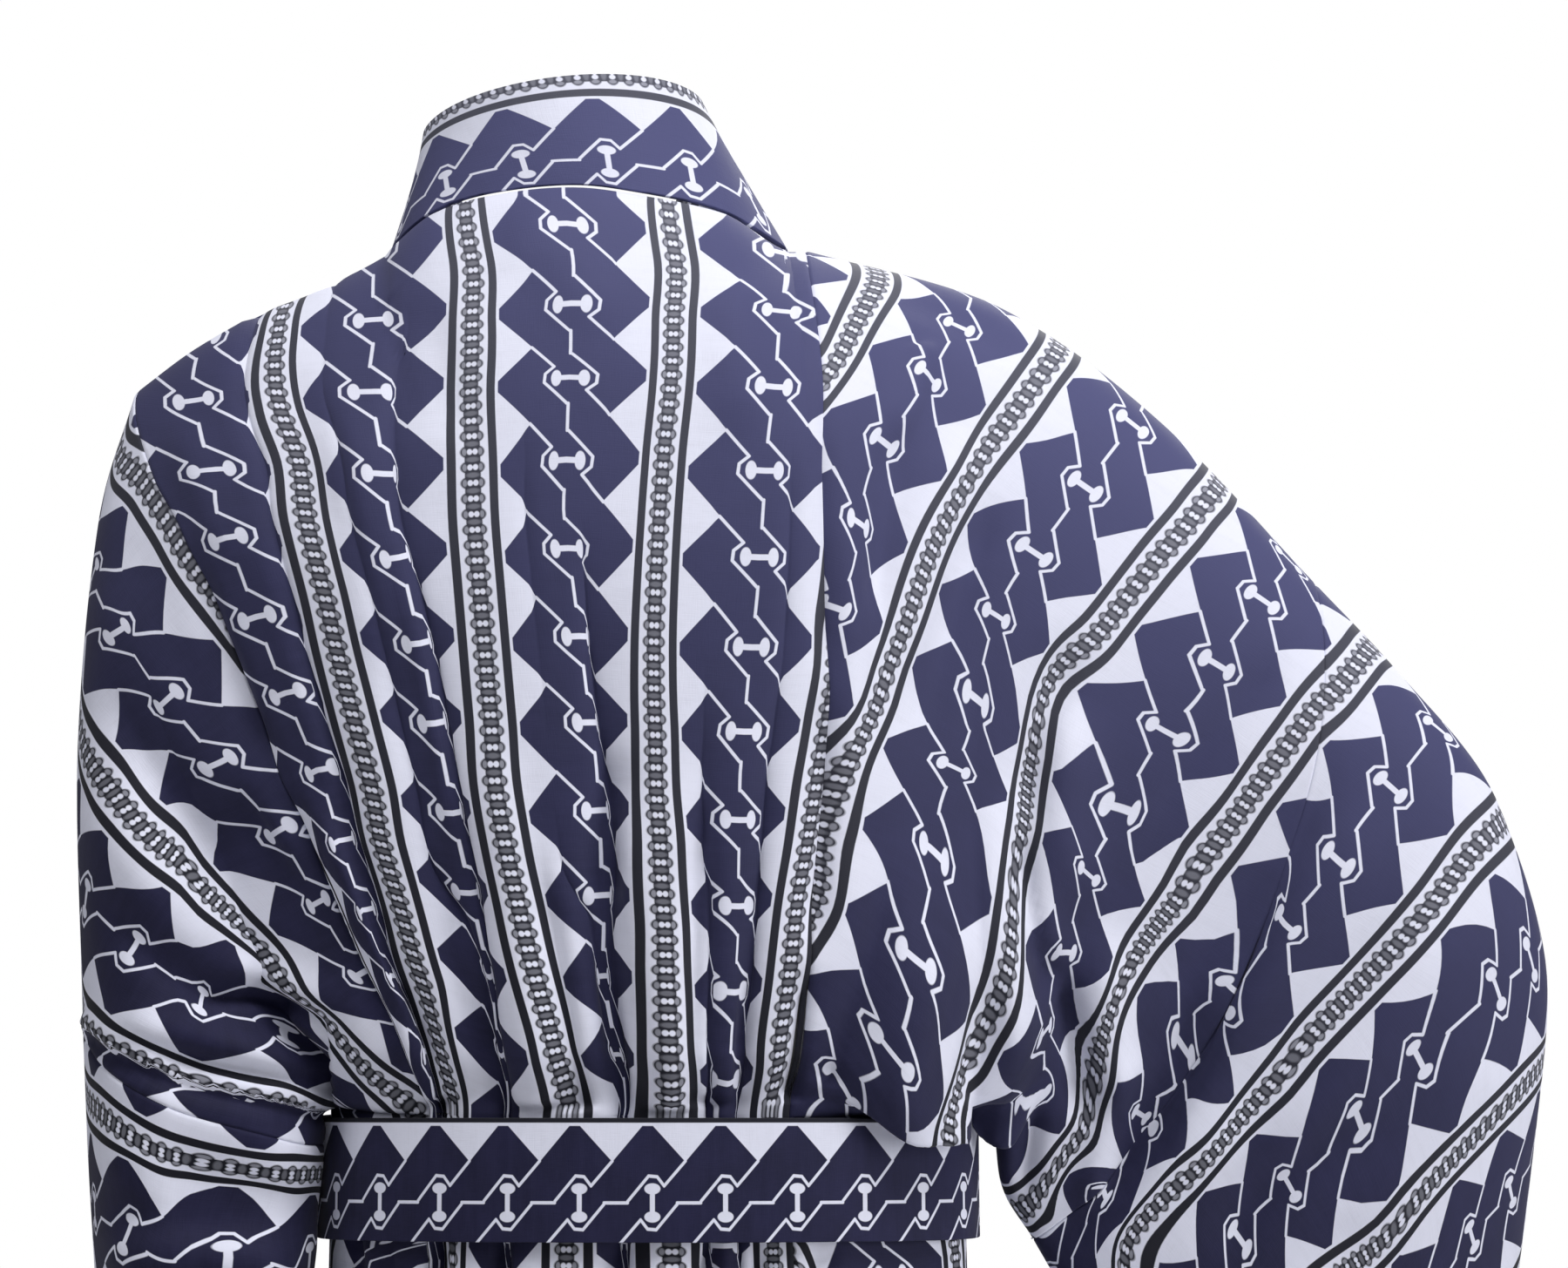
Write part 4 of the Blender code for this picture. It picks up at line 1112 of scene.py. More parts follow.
@dataclass
class ArmGrid:
    """The plain form of a strip round the arm: degrees down the rows, stations across."""

    places: Array
    stations: Array
    degrees: Array
    reach: float = 25.0
    nearer: float = 2.5
    turned_away: float = -0.05
    out_of_sight: float = 1e4

    def __post_init__(self) -> None:
        """Find where the places stand in the frame, and which of them face it."""
        out = unit(np.cross(np.gradient(self.places, axis=1), np.gradient(self.places, axis=0)))
        behind = int(np.argmin(np.abs(self.degrees - 90.0)))
        out *= np.sign(out[behind, len(self.stations) // 2, 1])
        toward = unit(np.array(SIGHT.eye) - self.places)
        self.hidden = np.where((out * toward).sum(-1) > self.turned_away, 0.0, self.out_of_sight)
        self.spots = SIGHT.spots(self.places)

    def gaps(self, spot: Array) -> Array:
        """How far every place in sight stands from a spot of the frame."""
        return np.linalg.norm(self.spots - spot, axis=-1) + self.hidden

    def find(self, spot: Array, other: "ArmGrid") -> tuple[float, float] | None:
        """Find the station and the degrees of the cloth that shows at a spot.

        Args:
            spot: The spot in the frame.
            other: The arm's other strip, which may show there instead.

        Returns:
            Station and degrees, or nothing where this strip doesn't show.
        """
        gaps = self.gaps(spot)
        least = gaps.min()
        if least > self.reach or other.gaps(spot).min() < least - self.nearer:
            return None
        j, i = np.unravel_index(gaps.argmin(), gaps.shape)
        j, i = min(max(j, 1), len(self.degrees) - 2), min(max(i, 1), len(self.stations) - 2)
        slopes = np.stack([self.spots[j, i + 1] - self.spots[j, i - 1],
                           self.spots[j + 1, i] - self.spots[j - 1, i]], axis=-1) / 2.0
        off = np.clip(np.linalg.solve(slopes, spot - self.spots[j, i]), -1.0, 1.0)
        return (self.stations[i] + off[0] * (self.stations[1] - self.stations[0]),
                self.degrees[j] + off[1] * (self.degrees[1] - self.degrees[0]))


def knot_shares(knots: Array, place: Array) -> Array:
    """Share of every knot at each place, along a smooth curve through the knots.

    Args:
        knots: Rising knots.
        place: Places, in a row.

    Returns:
        Places by knots of shares.
    """
    each = np.eye(len(knots))
    slopes = np.gradient(each, knots, axis=0)
    place = np.clip(place, knots[0], knots[-1])
    i = np.clip(np.searchsorted(knots, place, side="right") - 1, 0, len(knots) - 2)
    step = (knots[i + 1] - knots[i])[:, None]
    t = (place - knots[i])[:, None] / step
    return ((1 + 2 * t) * (1 - t) ** 2 * each[i] + t * (1 - t) ** 2 * step * slopes[i]
            + t * t * (3 - 2 * t) * each[i + 1] + t * t * (t - 1) * step * slopes[i + 1])


@dataclass
class PrintLay:
    """Where the print lies on a strip: its places at the knots of a net, in millimetres."""

    stations: Array
    degrees: Array
    net: Array

    def shares(self, stations: Array, degrees: Array) -> Array:
        """Share of every knot at each place, places by knots."""
        across, down = knot_shares(self.stations, stations), knot_shares(self.degrees, degrees)
        return (down[:, :, None] * across[:, None, :]).reshape(len(stations), -1)

    def at(self, stations: Array, degrees: Array) -> Array:
        """Print places, across and along, in millimetres."""
        shares = self.shares(stations.ravel(), degrees.ravel())
        return (shares @ self.net).reshape(stations.shape + (2,))

    def shown(self, stations: Array, degrees: Array) -> Array:
        """Places on the print's own map, in metres."""
        return (self.at(stations, degrees) + np.array([PRINT_SHIFT, 0.0])) / 1000.0


@dataclass(frozen=True)
class LayPlan:
    """What decides how the print lies on one strip of an arm.

    Its lines meet the routes, and elsewhere the cloth keeps its size.
    """

    stations: tuple[float, ...]
    degrees: tuple[float, ...]
    routes: tuple[Route, ...]
    start: float
    way: float
    size_hold: float
    rounds: int = 12
    edge: float | None = None
    joins: bool = False
    drifts: bool = False
    bar_hold: float = 0.7
    join_hold: float = 0.8
    edge_hold: float = 0.6
    evenness: float = 0.02
    damping: float = 0.01
    threads_across: int = 16
    threads_round: int = 40
    short: float = 8.0

    def rolled_out(self, grid: ArmGrid) -> Array:
        """The net of a cloth that is rolled out over the form at its own size."""
        across, down = 1000.0 * lengths(grid.places, 1), 1000.0 * lengths(grid.places, 0)
        rows = [int(np.argmin(np.abs(grid.degrees - d))) for d in self.degrees]
        columns = [int(np.argmin(np.abs(grid.stations - s))) for s in self.stations]
        u = np.stack([self.start + self.way * np.interp(self.stations, grid.stations, across[row])
                      for row in rows])
        along = np.stack([np.interp(-np.array([0.0, *self.degrees]), -grid.degrees, down[:, column])
                          for column in columns], axis=1)
        return np.stack([u.ravel(), (along[:1] - along[1:]).ravel()], axis=-1)

    def threads(self, grid: ArmGrid) -> tuple[Array, Array, Array]:
        """Short lines of the cloth that should keep their length.

        Args:
            grid: The strip's plain form.

        Returns:
            Row and column of both ends of each line, and its length.
        """
        columns = np.linspace(0, len(grid.stations) - 1, self.threads_across).round().astype(int)
        rows = np.linspace(0, len(grid.degrees) - 1, self.threads_round).round().astype(int)
        ends = []
        for j, k in zip(rows, rows[1:]):
            for i, h in zip(columns, columns[1:]):
                ends += [((j, i), (j, h)), ((j, i), (k, i)), ((j, i), (k, h)), ((j, h), (k, i))]
        a, b = np.moveaxis(np.array(ends), 1, 0)
        steps = np.linspace(0.0, 1.0, 6)[:, None, None]
        spot = lerp(a[None], b[None], steps)
        low = np.minimum(spot.astype(int), np.array(grid.places.shape[:2]) - 2)
        part = spot - low
        (j, i), (g, f) = np.moveaxis(low, -1, 0), np.moveaxis(part, -1, 0)[..., None]
        places = grid.places
        near, far = lerp(places[j, i], places[j + 1, i], g), lerp(places[j, i + 1], places[j + 1, i + 1], g)
        line = lerp(near, far, f)
        return a, b, 1000.0 * np.linalg.norm(np.diff(line, axis=0), axis=-1).sum(axis=0)

    def fit(self, grid: ArmGrid, other: ArmGrid, joined: PrintLay | None = None) -> PrintLay:
        """Lay the print on the strip.

        Args:
            grid: The strip's plain form.
            other: The plain form of the arm's other strip.
            joined: The lay of the strip that this one is sewn to, if the print runs on.

        Returns:
            The lay.
        """
        lay = PrintLay(np.array(self.stations), np.array(self.degrees), self.rolled_out(grid))
        met = [(*found, route.cloth, along) for route in self.routes for spot, along in route.samples()
               if (found := grid.find(spot, other)) is not None]
        stations, degrees, cloth, along = np.array(met, dtype=float).T
        lines = lay.shares(stations, degrees)
        bars = ~np.isnan(along)
        count = len(lay.net)

        def rule(hold: float, u: Array | None, v: Array | None, wanted: Array,
                 drift: float = 0.0) -> tuple[Array, Array]:
            """Rows of the linear system: shares of the knots, and what they should give."""
            size = len(wanted)
            blank = np.zeros((size, count))
            parts = [blank if u is None else u, blank if v is None else v, np.full((size, 1), drift)]
            return hold * np.concatenate(parts, axis=1), hold * wanted

        rules = [rule(1.0, lines, None, cloth),
                 rule(self.bar_hold, None, lines[bars], along[bars], -1.0 if self.drifts else 0.0)]
        turns = np.arange(-180.0, 181.0, 10.0)
        first = lay.shares(np.full(turns.shape, self.stations[0]), turns)
        if self.joins:
            seam = joined.at(np.full(turns.shape, self.stations[0]), turns)
            rules += [rule(self.join_hold, first, None, seam[:, 0]),
                      rule(self.join_hold, None, first, seam[:, 1])]
        elif self.edge is not None:
            rules.append(rule(self.edge_hold, first, None, np.full(turns.shape, self.edge)))
        bend = np.diff(np.eye(count).reshape(len(self.degrees), len(self.stations), count), 2, axis=0)
        bend = bend.reshape(-1, count)
        rules += [rule(self.evenness, bend, None, np.zeros(len(bend))),
                  rule(self.evenness, None, bend, np.zeros(len(bend)))]
        system, wanted = (np.concatenate(parts) for parts in zip(*rules))

        start, end, size = self.threads(grid)
        ends = [lay.shares(grid.stations[spot[:, 1]], grid.degrees[spot[:, 0]]) for spot in (start, end)]
        run = ends[1] - ends[0]
        hold = self.size_hold * np.minimum(1.0, size / self.short)
        size = np.maximum(size, 1.0)
        x = np.concatenate([lay.net.T.ravel(), [0.0]])

        def misses(x: Array) -> tuple[Array, Array, Array]:
            """What every rule misses by, and how long each line is now."""
            u, v = run @ x[:count], run @ x[count:-1]
            return np.concatenate([system @ x - wanted, hold * (np.hypot(u, v) / size - 1.0)]), u, v

        damping = self.damping
        miss, u, v = misses(x)
        for _ in range(self.rounds):
            pull = hold / size / np.maximum(np.hypot(u, v), 1e-9)
            steep = np.concatenate([(pull * u)[:, None] * run, (pull * v)[:, None] * run,
                                    np.zeros((len(run), 1))], axis=1)
            every = np.concatenate([system, steep])
            columns = np.ascontiguousarray(every.T)
            square, push = columns @ columns.T, columns @ miss
            for _ in range(6):
                tried = x - np.linalg.solve(square + damping * np.eye(len(x)), push)
                found, u_new, v_new = misses(tried)
                if found @ found < miss @ miss:
                    x, miss, u, v = tried, found, u_new, v_new
                    damping = damping / 4.0
                    break
                damping = damping * 4.0
        net = np.stack([x[:count], x[count:-1] - x[-1]], axis=-1)
        return PrintLay(lay.stations, lay.degrees, net)


@dataclass(frozen=True)
class BackRow:
    """What shows along one line of the frame across the gathered back.

    high is the line and marks are the middles of the printed stripes that show there, in
    pixels of the frame. seams is the cloth's place at both seams, in millimetres, and near
    says how near the furrows come to the middle of the wide stripes, in hundredths.
    """

    high: int
    marks: tuple[int, ...]
    seams: tuple[int, int]
    near: tuple[int, ...]


@dataclass(frozen=True)
class BackBars:
    """The bars down one wide stripe, in pixels down the frame, from the first one's number."""

    first: int
    heights: tuple[int, ...]

    def drop(self, high: float) -> float:
        """How far down the print a line of the frame lies, run on straight past both ends."""
        places = np.array(self.heights, dtype=float)
        drops = (self.first + np.arange(len(places))) * BAR_PITCH
        over = (drops[2] - drops[0]) / (places[2] - places[0])
        under = (drops[-1] - drops[-3]) / (places[-1] - places[-3])
        past = min(high - places[0], 0.0) * over + max(high - places[-1], 0.0) * under
        return float(np.interp(high, places, drops)) + past


@dataclass(frozen=True)
class Gathers:
    """How the back's one width of cloth is drawn in towards the belt, furrow by furrow.

    Each row is found on the plain panel where it shows in the frame. The first row is laid
    once more above the frame's lines, so that the cloth runs on straight to the shoulders.
    """

    rows: tuple[BackRow, ...]
    bars: tuple[BackBars, ...]
    wide: tuple[float, ...] = (-132.0, -44.0, 44.0, 132.0)
    narrow_half: float = 10.0
    worn: float = 0.93
    pinch: float = 2.8
    deepest: float = 7.0
    shift: float = PRINT_SHIFT
    above: float = 0.032
    net: tuple[int, int] = (401, 300)
    middle_marks: tuple[int, int] = (2, 7)
    columns: tuple[int, ...] = (9, 4, 5, 5, 8, 6, 5, 6, 4, 5, 7, 8, 6, 5, 6, 4, 5, 7, 8, 6, 5, 6, 5, 5, 6, 7)
    leaning: tuple[tuple[int, int, int, int], ...] = ((0, 1, -1, 0), (1, 8, 1, 2))
    most_lean: float = 0.40

    def found(self, panel_at: Callable[[Array, Array], Array]) -> list[tuple[Array, ...]]:
        """Find the rows on the panel.

        Args:
            panel_at: The panel's form, from shares across and shares up to points.

        Returns:
            Rising rows of height in metres, shares of the marks, drops, seams and nearness.
        """
        across = np.linspace(0.0, 1.0, self.net[0])
        up = 0.5 * (1.0 - np.cos(math.pi * np.linspace(0.0, 1.0, self.net[1])))
        places = panel_at(*np.meshgrid(across, up))
        spots = SIGHT.spots(places)
        rows = []
        for row in self.rows:
            marks = np.stack(np.broadcast_arrays(np.array(row.marks, dtype=float), float(row.high)), -1)
            gaps = np.linalg.norm(spots[None] - marks[:, None, None], axis=-1)
            nearest = gaps.reshape(len(marks), -1).argmin(-1)
            high = places[..., 2].ravel()[nearest][slice(*self.middle_marks)].mean()
            drops = np.array([bar.drop(row.high) for bar in self.bars])
            shares = across[nearest % len(across)]
            rows.append((np.array([high]), shares, drops, np.array(row.seams), np.array(row.near)))
        top = rows[0]
        rows.append((top[0] + self.above, top[1], top[2] - 1000.0 * self.above / self.worn, *top[3:]))
        return sorted(rows, key=lambda row: float(row[0][0]))

    def tables(self, rows: list[tuple[Array, ...]], heights: Array,
               panel: Array) -> tuple[Array, Array, Array, Array]:
        """Work out the stripes' edges and the furrows at a set of heights.

        Args:
            rows: The rows as found on the panel.
            heights: Heights, in metres, rising.
            panel: Width of the panel at each, in metres.

        Returns:
            Shares across of every mark, cloth places of every mark, the drops at the wide
            stripes, and the furrows' places, cloth and side, all with a row for each height.
        """
        keys = np.concatenate([row[0] for row in rows])

        def column(part: int) -> Array:
            """One part of the rows, at the heights asked for."""
            values = np.array([row[part] for row in rows], dtype=float)
            return np.stack([smooth_curve(keys, value, heights) for value in values.T], axis=-1)

        marks, drops, seams, near = (column(part) for part in (1, 2, 3, 4))
        near, width = near / 100.0, panel * 1000.0
        zero, one = np.zeros_like(width), np.ones_like(width)
        half = self.narrow_half * self.worn / width
        edges = []
        for index in (1, 3, 5):
            room = np.minimum(marks[:, index] - marks[:, index - 1], marks[:, index + 1] - marks[:, index])
            thin = np.minimum(half, 0.68 * room)
            edges += [marks[:, index] - thin, marks[:, index] + thin]
        edges.append(marks[:, 7])
        last = np.minimum(166.0, seams[:, 1] - 4.0)
        inner = [u * one for u in (-98.0, -78.0, -10.0, 10.0, 78.0, 98.0)] + [last]
        places, cloth, furrows = [zero], [seams[:, 0]], []

        def furrow(start: Array, start_cloth: Array, end: Array, end_cloth: Array,
                   share: Array, side: float) -> None:
            """Add the two sides of one furrow between two marks."""
            span = (end - start) * width
            width_in = np.minimum(self.pinch, 0.5 * span)
            seen = np.minimum((span - width_in) / self.worn, end_cloth - start_cloth - 3.0)
            hidden = end_cloth - start_cloth - seen
            first = start + share * (span - width_in) / width
            places.extend([first, first + width_in / width])
            cloth.extend([start_cloth + share * seen, start_cloth + share * seen + hidden])
            furrows.append(np.stack([first + 0.5 * width_in / width, hidden - 3.0, side * one,
                                     start_cloth + share * seen], axis=-1))

        off = 0.6 * ramp(heights, -0.285, -0.25)
        for band, middle in enumerate(self.wide):
            at, here, share = marks[:, 2 * band], middle * one, near[:, band]
            if band:
                left, left_cloth = edges[2 * band - 1], inner[2 * band - 1]
                places.append(left)
                cloth.append(left_cloth)
                furrow(left, left_cloth, at, here, 1.0 - np.maximum(share, off), 1.0)
            places.append(at)
            cloth.append(here)
            furrow(at, here, edges[2 * band], inner[2 * band], share, -1.0)
            places.append(edges[2 * band])
            cloth.append(inner[2 * band])
        places.append(one)
        cloth.append(seams[:, 1])
        return np.stack(places, -1), np.stack(cloth, -1), drops, np.stack(furrows, 1)

    def threads(self) -> Array:
        """The columns as places between the marks, closer together beside the seams."""
        steps = [k + np.arange(count) / count for k, count in enumerate(self.columns)]
        every = np.concatenate([*steps, [len(self.columns)]])
        close = np.array([0.025, 0.055, 0.095])
        return np.sort(np.concatenate([every, close, len(self.columns) - 1.4 * close]))

    def lay(self, panel_at: Callable[[Array, Array], Array],
            shares: Array) -> tuple[Array, Array, Array, Array]:
        """Lay the cloth on the panel.

        Args:
            panel_at: The panel's form, from shares across and shares up to points.
            shares: Shares up of the rows.

        Returns:
            Shares across, points, print places and lifts, rows by columns.
        """
        up, level = np.meshgrid(shares, np.linspace(0.0, 1.0, 81), indexing="ij")
        widths = lengths(panel_at(level, up), 1)[:, -1]
        threads = self.threads()
        across = np.broadcast_to(threads / threads[-1], (len(shares), len(threads)))
        rise = panel_at(np.full(shares.shape, 0.5), shares)[:, 2]
        levels = np.linspace(rise[0], rise[-1], 260)
        marks, cloth, drops, furrows = self.tables(self.found(panel_at), levels,
                                                   np.interp(levels, rise, widths))
        below = np.clip(threads.astype(int), 0, len(self.columns) - 1)
        part = threads - below
        for _ in range(4):
            points = panel_at(across, up[:, :1] * np.ones(across.shape))
            spot = np.clip((points[..., 2] - levels[0]) / (levels[1] - levels[0]), 0.0, len(levels) - 1.001)
            low = spot.astype(int)
            between = spot - low

            def read(table: Array, mark: Array | int) -> Array:
                """Read one mark's table at each place's height."""
                return lerp(table[low, mark], table[low + 1, mark], between)

            across = lerp(read(marks, below[None]), read(marks, below[None] + 1), part[None])
        print_u = lerp(read(cloth, below[None]), read(cloth, below[None] + 1), part[None])
        print_v = np.zeros(across.shape)
        middles = np.array(self.wide)
        weights = np.stack([np.interp(print_u, middles, row) for row in np.eye(len(middles))])
        for k in range(len(middles)):
            print_v = print_v + weights[k] * read(drops, k)
        for band, mark, left, right in self.leaning:
            column = int(np.argmin(np.abs(threads - mark)))
            climb = np.gradient(points[:, column], axis=0)
            lean = np.clip(climb[:, :1] / np.linalg.norm(climb, axis=-1, keepdims=True),
                           -self.most_lean, self.most_lean)
            hidden, start = read(furrows[:, right], 1), read(furrows[:, right], 3)
            tilt = lean * (print_u - middles[band]) * ramp(hidden, 4.0, 14.0)
            tilt = tilt * (1.0 - ramp(print_u, start, start + hidden + 3.0))
            if left >= 0:
                hidden, start = read(furrows[:, left], 1), read(furrows[:, left], 3)
                tilt = tilt * ramp(print_u, start, start + hidden + 3.0)
            print_v = print_v + tilt
        lift = np.zeros(across.shape)
        for k in range(furrows.shape[1]):
            place, hidden, side = (read(furrows[:, k], j) for j in range(3))
            gap = (across - place) * widths[:, None] * 1000.0
            deep = self.deepest * (1.0 - np.exp(-hidden / 14.0))
            shape = -0.6 * np.exp(-np.abs(gap) / 1.7) - 0.4 * np.exp(-(gap / 6.0) ** 2)
            lift = lift + deep * (shape + 0.24 * np.exp(-((gap - side * 5.0) / 4.5) ** 2))
        shown = np.stack([print_u + self.shift, print_v], axis=-1) / 1000.0
        return across, points, shown, lift / 1000.0


# ------------------------------------------------------------------ listed creases and print
CREASES_BEHIND = tuple(Crease(*row) for row in (
    (203, -318, 154, -339, 103, -356, 6, 3.6, 0, (0.05, 0.05)),
    (201, -325, 152, -346, 101, -363, 4, -4.2, 0, (0.05, 0.05)),
    (66, -97, 51, -183, 31, -270, 8, 3.3, -0.2),
    (-22, -202, -24, -238, -17, -276, 8, -3.6, 0.2),
    (-25, -213, -36, -275, -46, -355, 8, 3.9, 0, (0.3, 0.03)),
    (-78, -169, -71, -254, -63, -351, 9, 3.6, 0, (0.3, 0.03)),
    (89, -47, 76, -120, 65, -181, 12, 3.6, 0),
    (27, -190, 18, -267, 6, -353, 9, 4.2, 0.1, (0.3, 0.03)),
    (10, -241, -2, -301, -10, -354, 6, -4.5, 0.2, (0.3, 0.03)),
    (-45, -207, -48, -276, -48, -354, 9, 3.3, 0, (0.3, 0.03)),
    (-57, -219, -55, -288, -54, -353, 5, -4.2, -0.2, (0.3, 0.03)),
    (153, -118, 135, -169, 113, -223, 6, -5.1, 0.2),
    (115, -214, 93, -267, 61, -335, 6, -6.2, 0.2),
    (103, -218, 78, -275, 48, -352, 5, 5.4, 0, (0.3, 0.03)),
    (-109, -53, -110, -122, -110, -186, 5, -4.5, 0.2),
    (-110, -176, -109, -241, -103, -296, 6, -6.6, 0.2),
    (-103, -288, -98, -323, -94, -350, 5, -6, 0.1, (0.3, 0.03)),
    (-120, -98, -119, -172, -110, -241, 8, 4.5, 0),
    (-142, -66, -135, -115, -124, -161, 9, -3.9, 0.2),
    (-150, -36, -148, -52, -135, -85, 7, 4.5, 0.2),
    (-167, -67, -153, -119, -134, -187, 11, 4.2, 0),
    (-185, -100, -164, -149, -149, -220, 9, -3.6, 0.3),
    (-142, -242, -126, -299, -113, -343, 7, -5.1, 0.3, (0.3, 0.03)),
    (-162, -259, -142, -309, -130, -348, 8, 4.5, 0),
    (-182, -276, -167, -320, -146, -360, 7, -4.5, 0.2),
    (-223, -161, -200, -198, -194, -244, 9, -6, 0.4),
    (-192, -232, -197, -276, -211, -306, 7, -8.4, 0.45),
    (-206, -293, -217, -331, -220, -368, 6, -7.8, 0.4),
    (-215, -183, -207, -230, -215, -278, 11, 5.4, -0.2),
    (-224, -278, -228, -323, -236, -363, 10, 6, 0),
    (-182, -222, -182, -276, -193, -323, 10, 4.8, 0),
    (-199, -345, -197, -372, -192, -402, 6, -5.2, 0.2),
    (-304, -165, -274, -201, -238, -249, 6, -2.7, 0.2),
    (-347, -221, -304, -285, -261, -343, 16, 4.5, 0),
    (-331, -207, -285, -273, -247, -322, 12, -3.6, 0.2),
    (-380, -258, -336, -331, -287, -398, 18, 5.1, 0),
    (-363, -263, -311, -328, -271, -380, 12, -3.9, -0.2),
    (-403, -318, -366, -375, -331, -426, 16, 4.5, 0),
    (-352, -363, -301, -391, -278, -429, 11, -4.2, 0.2),
    (-275, -305, -252, -345, -230, -400, 9, -3.9, 0.3),
    (-239, -330, -228, -369, -220, -415, 8, 4.5, 0),
    (189, -126, 161, -185, 125, -242, 14, 4.5, 0),
    (192, -171, 164, -221, 121, -275, 10, -3.9, 0.2),
    (139, -221, 109, -259, 75, -316, 9, -5.4, 0.3),
    (126, -217, 97, -269, 68, -324, 9, 4.5, 0),
    (192, -219, 160, -268, 112, -301, 14, 4.5, 0),
    (196, -262, 163, -296, 125, -317, 9, -3.6, -0.2),
    (154, -312, 121, -311, 90, -328, 5, -6.6, -0.5),
    (149, -302, 119, -300, 85, -318, 9, 5.4, 0.2),
    (188, -321, 148, -336, 105, -352, 5, -4.8, 0.3),
    (191, -311, 145, -328, 98, -345, 8, 3.9, 0),
    (171, -329, 136, -339, 97, -343, 6, -3.9, 0),
    (201, -366, 155, -376, 102, -384, 12, 3.6, 0),
    (196, -399, 154, -402, 114, -410, 9, -3.6, 0),
    (197, -420, 154, -416, 116, -422, 12, 4.5, 0),
    (30, 9, -1, -6, -20, -41, 16, 2.7, 0),
    (60, -15, 48, -49, 42, -84, 12, -2.7, 0.2),
    (-71, -7, -74, -41, -75, -83, 12, 2.7, 0),
    (112, -41, 103, -83, 83, -136, 12, -3, 0.2),
    (162, -66, 146, -99, 131, -136, 9, 3, 0),
    (-132, -14, -164, -25, -195, -46, 9, -3.3, 0),
    (60, -412, 66, -560, 70, -760, 12, -2.8, 0.2),
    (-40, -412, -46, -600, -52, -900, 14, -2.6, -0.2),
    (-90, -412, -98, -540, -104, -700, 9, -3, 0.2),
    (10, -412, 12, -500, 8, -600, 8, 2.4, 0),
    (95, -412, 108, -580, 118, -820, 12, -2.8, 0.2),
    (88, -408, 86, -424, 90, -452, 5, -4.5, 0.3, (0.05, 0.4)),
    (70, -408, 72, -428, 66, -455, 4, -4, -0.3, (0.05, 0.4)),
    (52, -408, 49, -430, 52, -470, 5, -5, 0.2, (0.05, 0.4)),
    (20, -408, 22, -426, 18, -448, 4, -3.6, 0.3, (0.05, 0.4)),
    (-22, -408, -20, -430, -26, -462, 5, -4.6, -0.3, (0.05, 0.4)),
    (-58, -408, -62, -428, -60, -452, 4, -4.2, 0.3, (0.05, 0.4)),
    (-84, -408, -82, -432, -90, -470, 5, -5, -0.2, (0.05, 0.4)),
    (-112, -408, -108, -428, -114, -456, 5, -4.4, 0.3, (0.05, 0.4)),
))
CREASES_BEFORE = {
    Side.LEFT: tuple(Crease(*row) for row in (
        (120, -60, 95, -200, 62, -352, 9, -4.5, 0.3),
        (150, -110, 118, -230, 80, -353, 7, -5, 0.3),
        (85, -95, 70, -220, 40, -352, 8, -3.6, -0.2),
        (60, -180, 42, -270, 20, -353, 6, -4.2, 0.2),
        (100, -150, 84, -250, 52, -352, 10, 3, 0),
        (30, -230, 14, -300, -6, -353, 6, -3.4, 0.3),
        (170, -200, 140, -280, 98, -350, 7, -4.4, 0.2),
        (190, -90, 170, -170, 150, -260, 11, -3, 0.2),
        (70, -412, 82, -560, 88, -720, 10, -3.2, 0.2),
        (30, -412, 34, -620, 44, -860, 12, 2.6, 0),
        (100, -415, 120, -600, 132, -900, 14, -2.6, 0.2),
        (-10, -412, -18, -520, -22, -640, 8, -2.8, -0.2),
        (50, -412, 46, -470, 40, -540, 6, -3.6, 0.2),
        (190, -110, 165, -170, 140, -235, 12, 3, 0),
        (195, -180, 168, -225, 130, -280, 9, -3.4, 0.2),
        (192, -250, 160, -280, 122, -305, 9, -4.2, -0.3),
        (190, -300, 150, -318, 112, -326, 7, -3.6, 0.3),
        (188, -350, 150, -366, 116, -372, 9, 2.6, 0),
    )),
    Side.RIGHT: tuple(Crease(*row) for row in (
        (-118, -70, -92, -210, -60, -352, 9, -4.2, -0.3),
        (-150, -120, -120, -240, -84, -353, 7, -4.8, -0.3),
        (-90, -130, -74, -240, -48, -352, 8, -3.4, 0.2),
        (-175, -180, -148, -270, -104, -350, 8, -4, -0.2),
        (-105, -160, -88, -260, -58, -352, 10, 2.8, 0),
        (-200, -110, -178, -190, -152, -270, 12, -3, -0.2),
        (-72, -412, -80, -560, -92, -760, 10, -3, -0.2),
        (-110, -415, -124, -640, -128, -940, 14, -2.4, -0.2),
        (-96, -412, -98, -470, -104, -560, 7, -3.4, 0.2),
        (-260, -60, -230, -180, -205, -300, 14, -4, 0.2),
        (-320, -140, -290, -260, -262, -370, 16, 3.4, 0),
        (-360, -210, -322, -310, -286, -410, 12, -3.2, 0.2),
        (-400, -290, -362, -360, -330, -440, 14, 3, 0),
        (-240, -200, -222, -280, -214, -360, 9, -4.6, 0.3),
    )),
}
SEAM_FOLD = Crease(201, -323, 152, -344, 101, -361, 5, 0.0, 0.0, (0.01, 0.01))
SEAM_SHIFT = (0.034, 0.018)
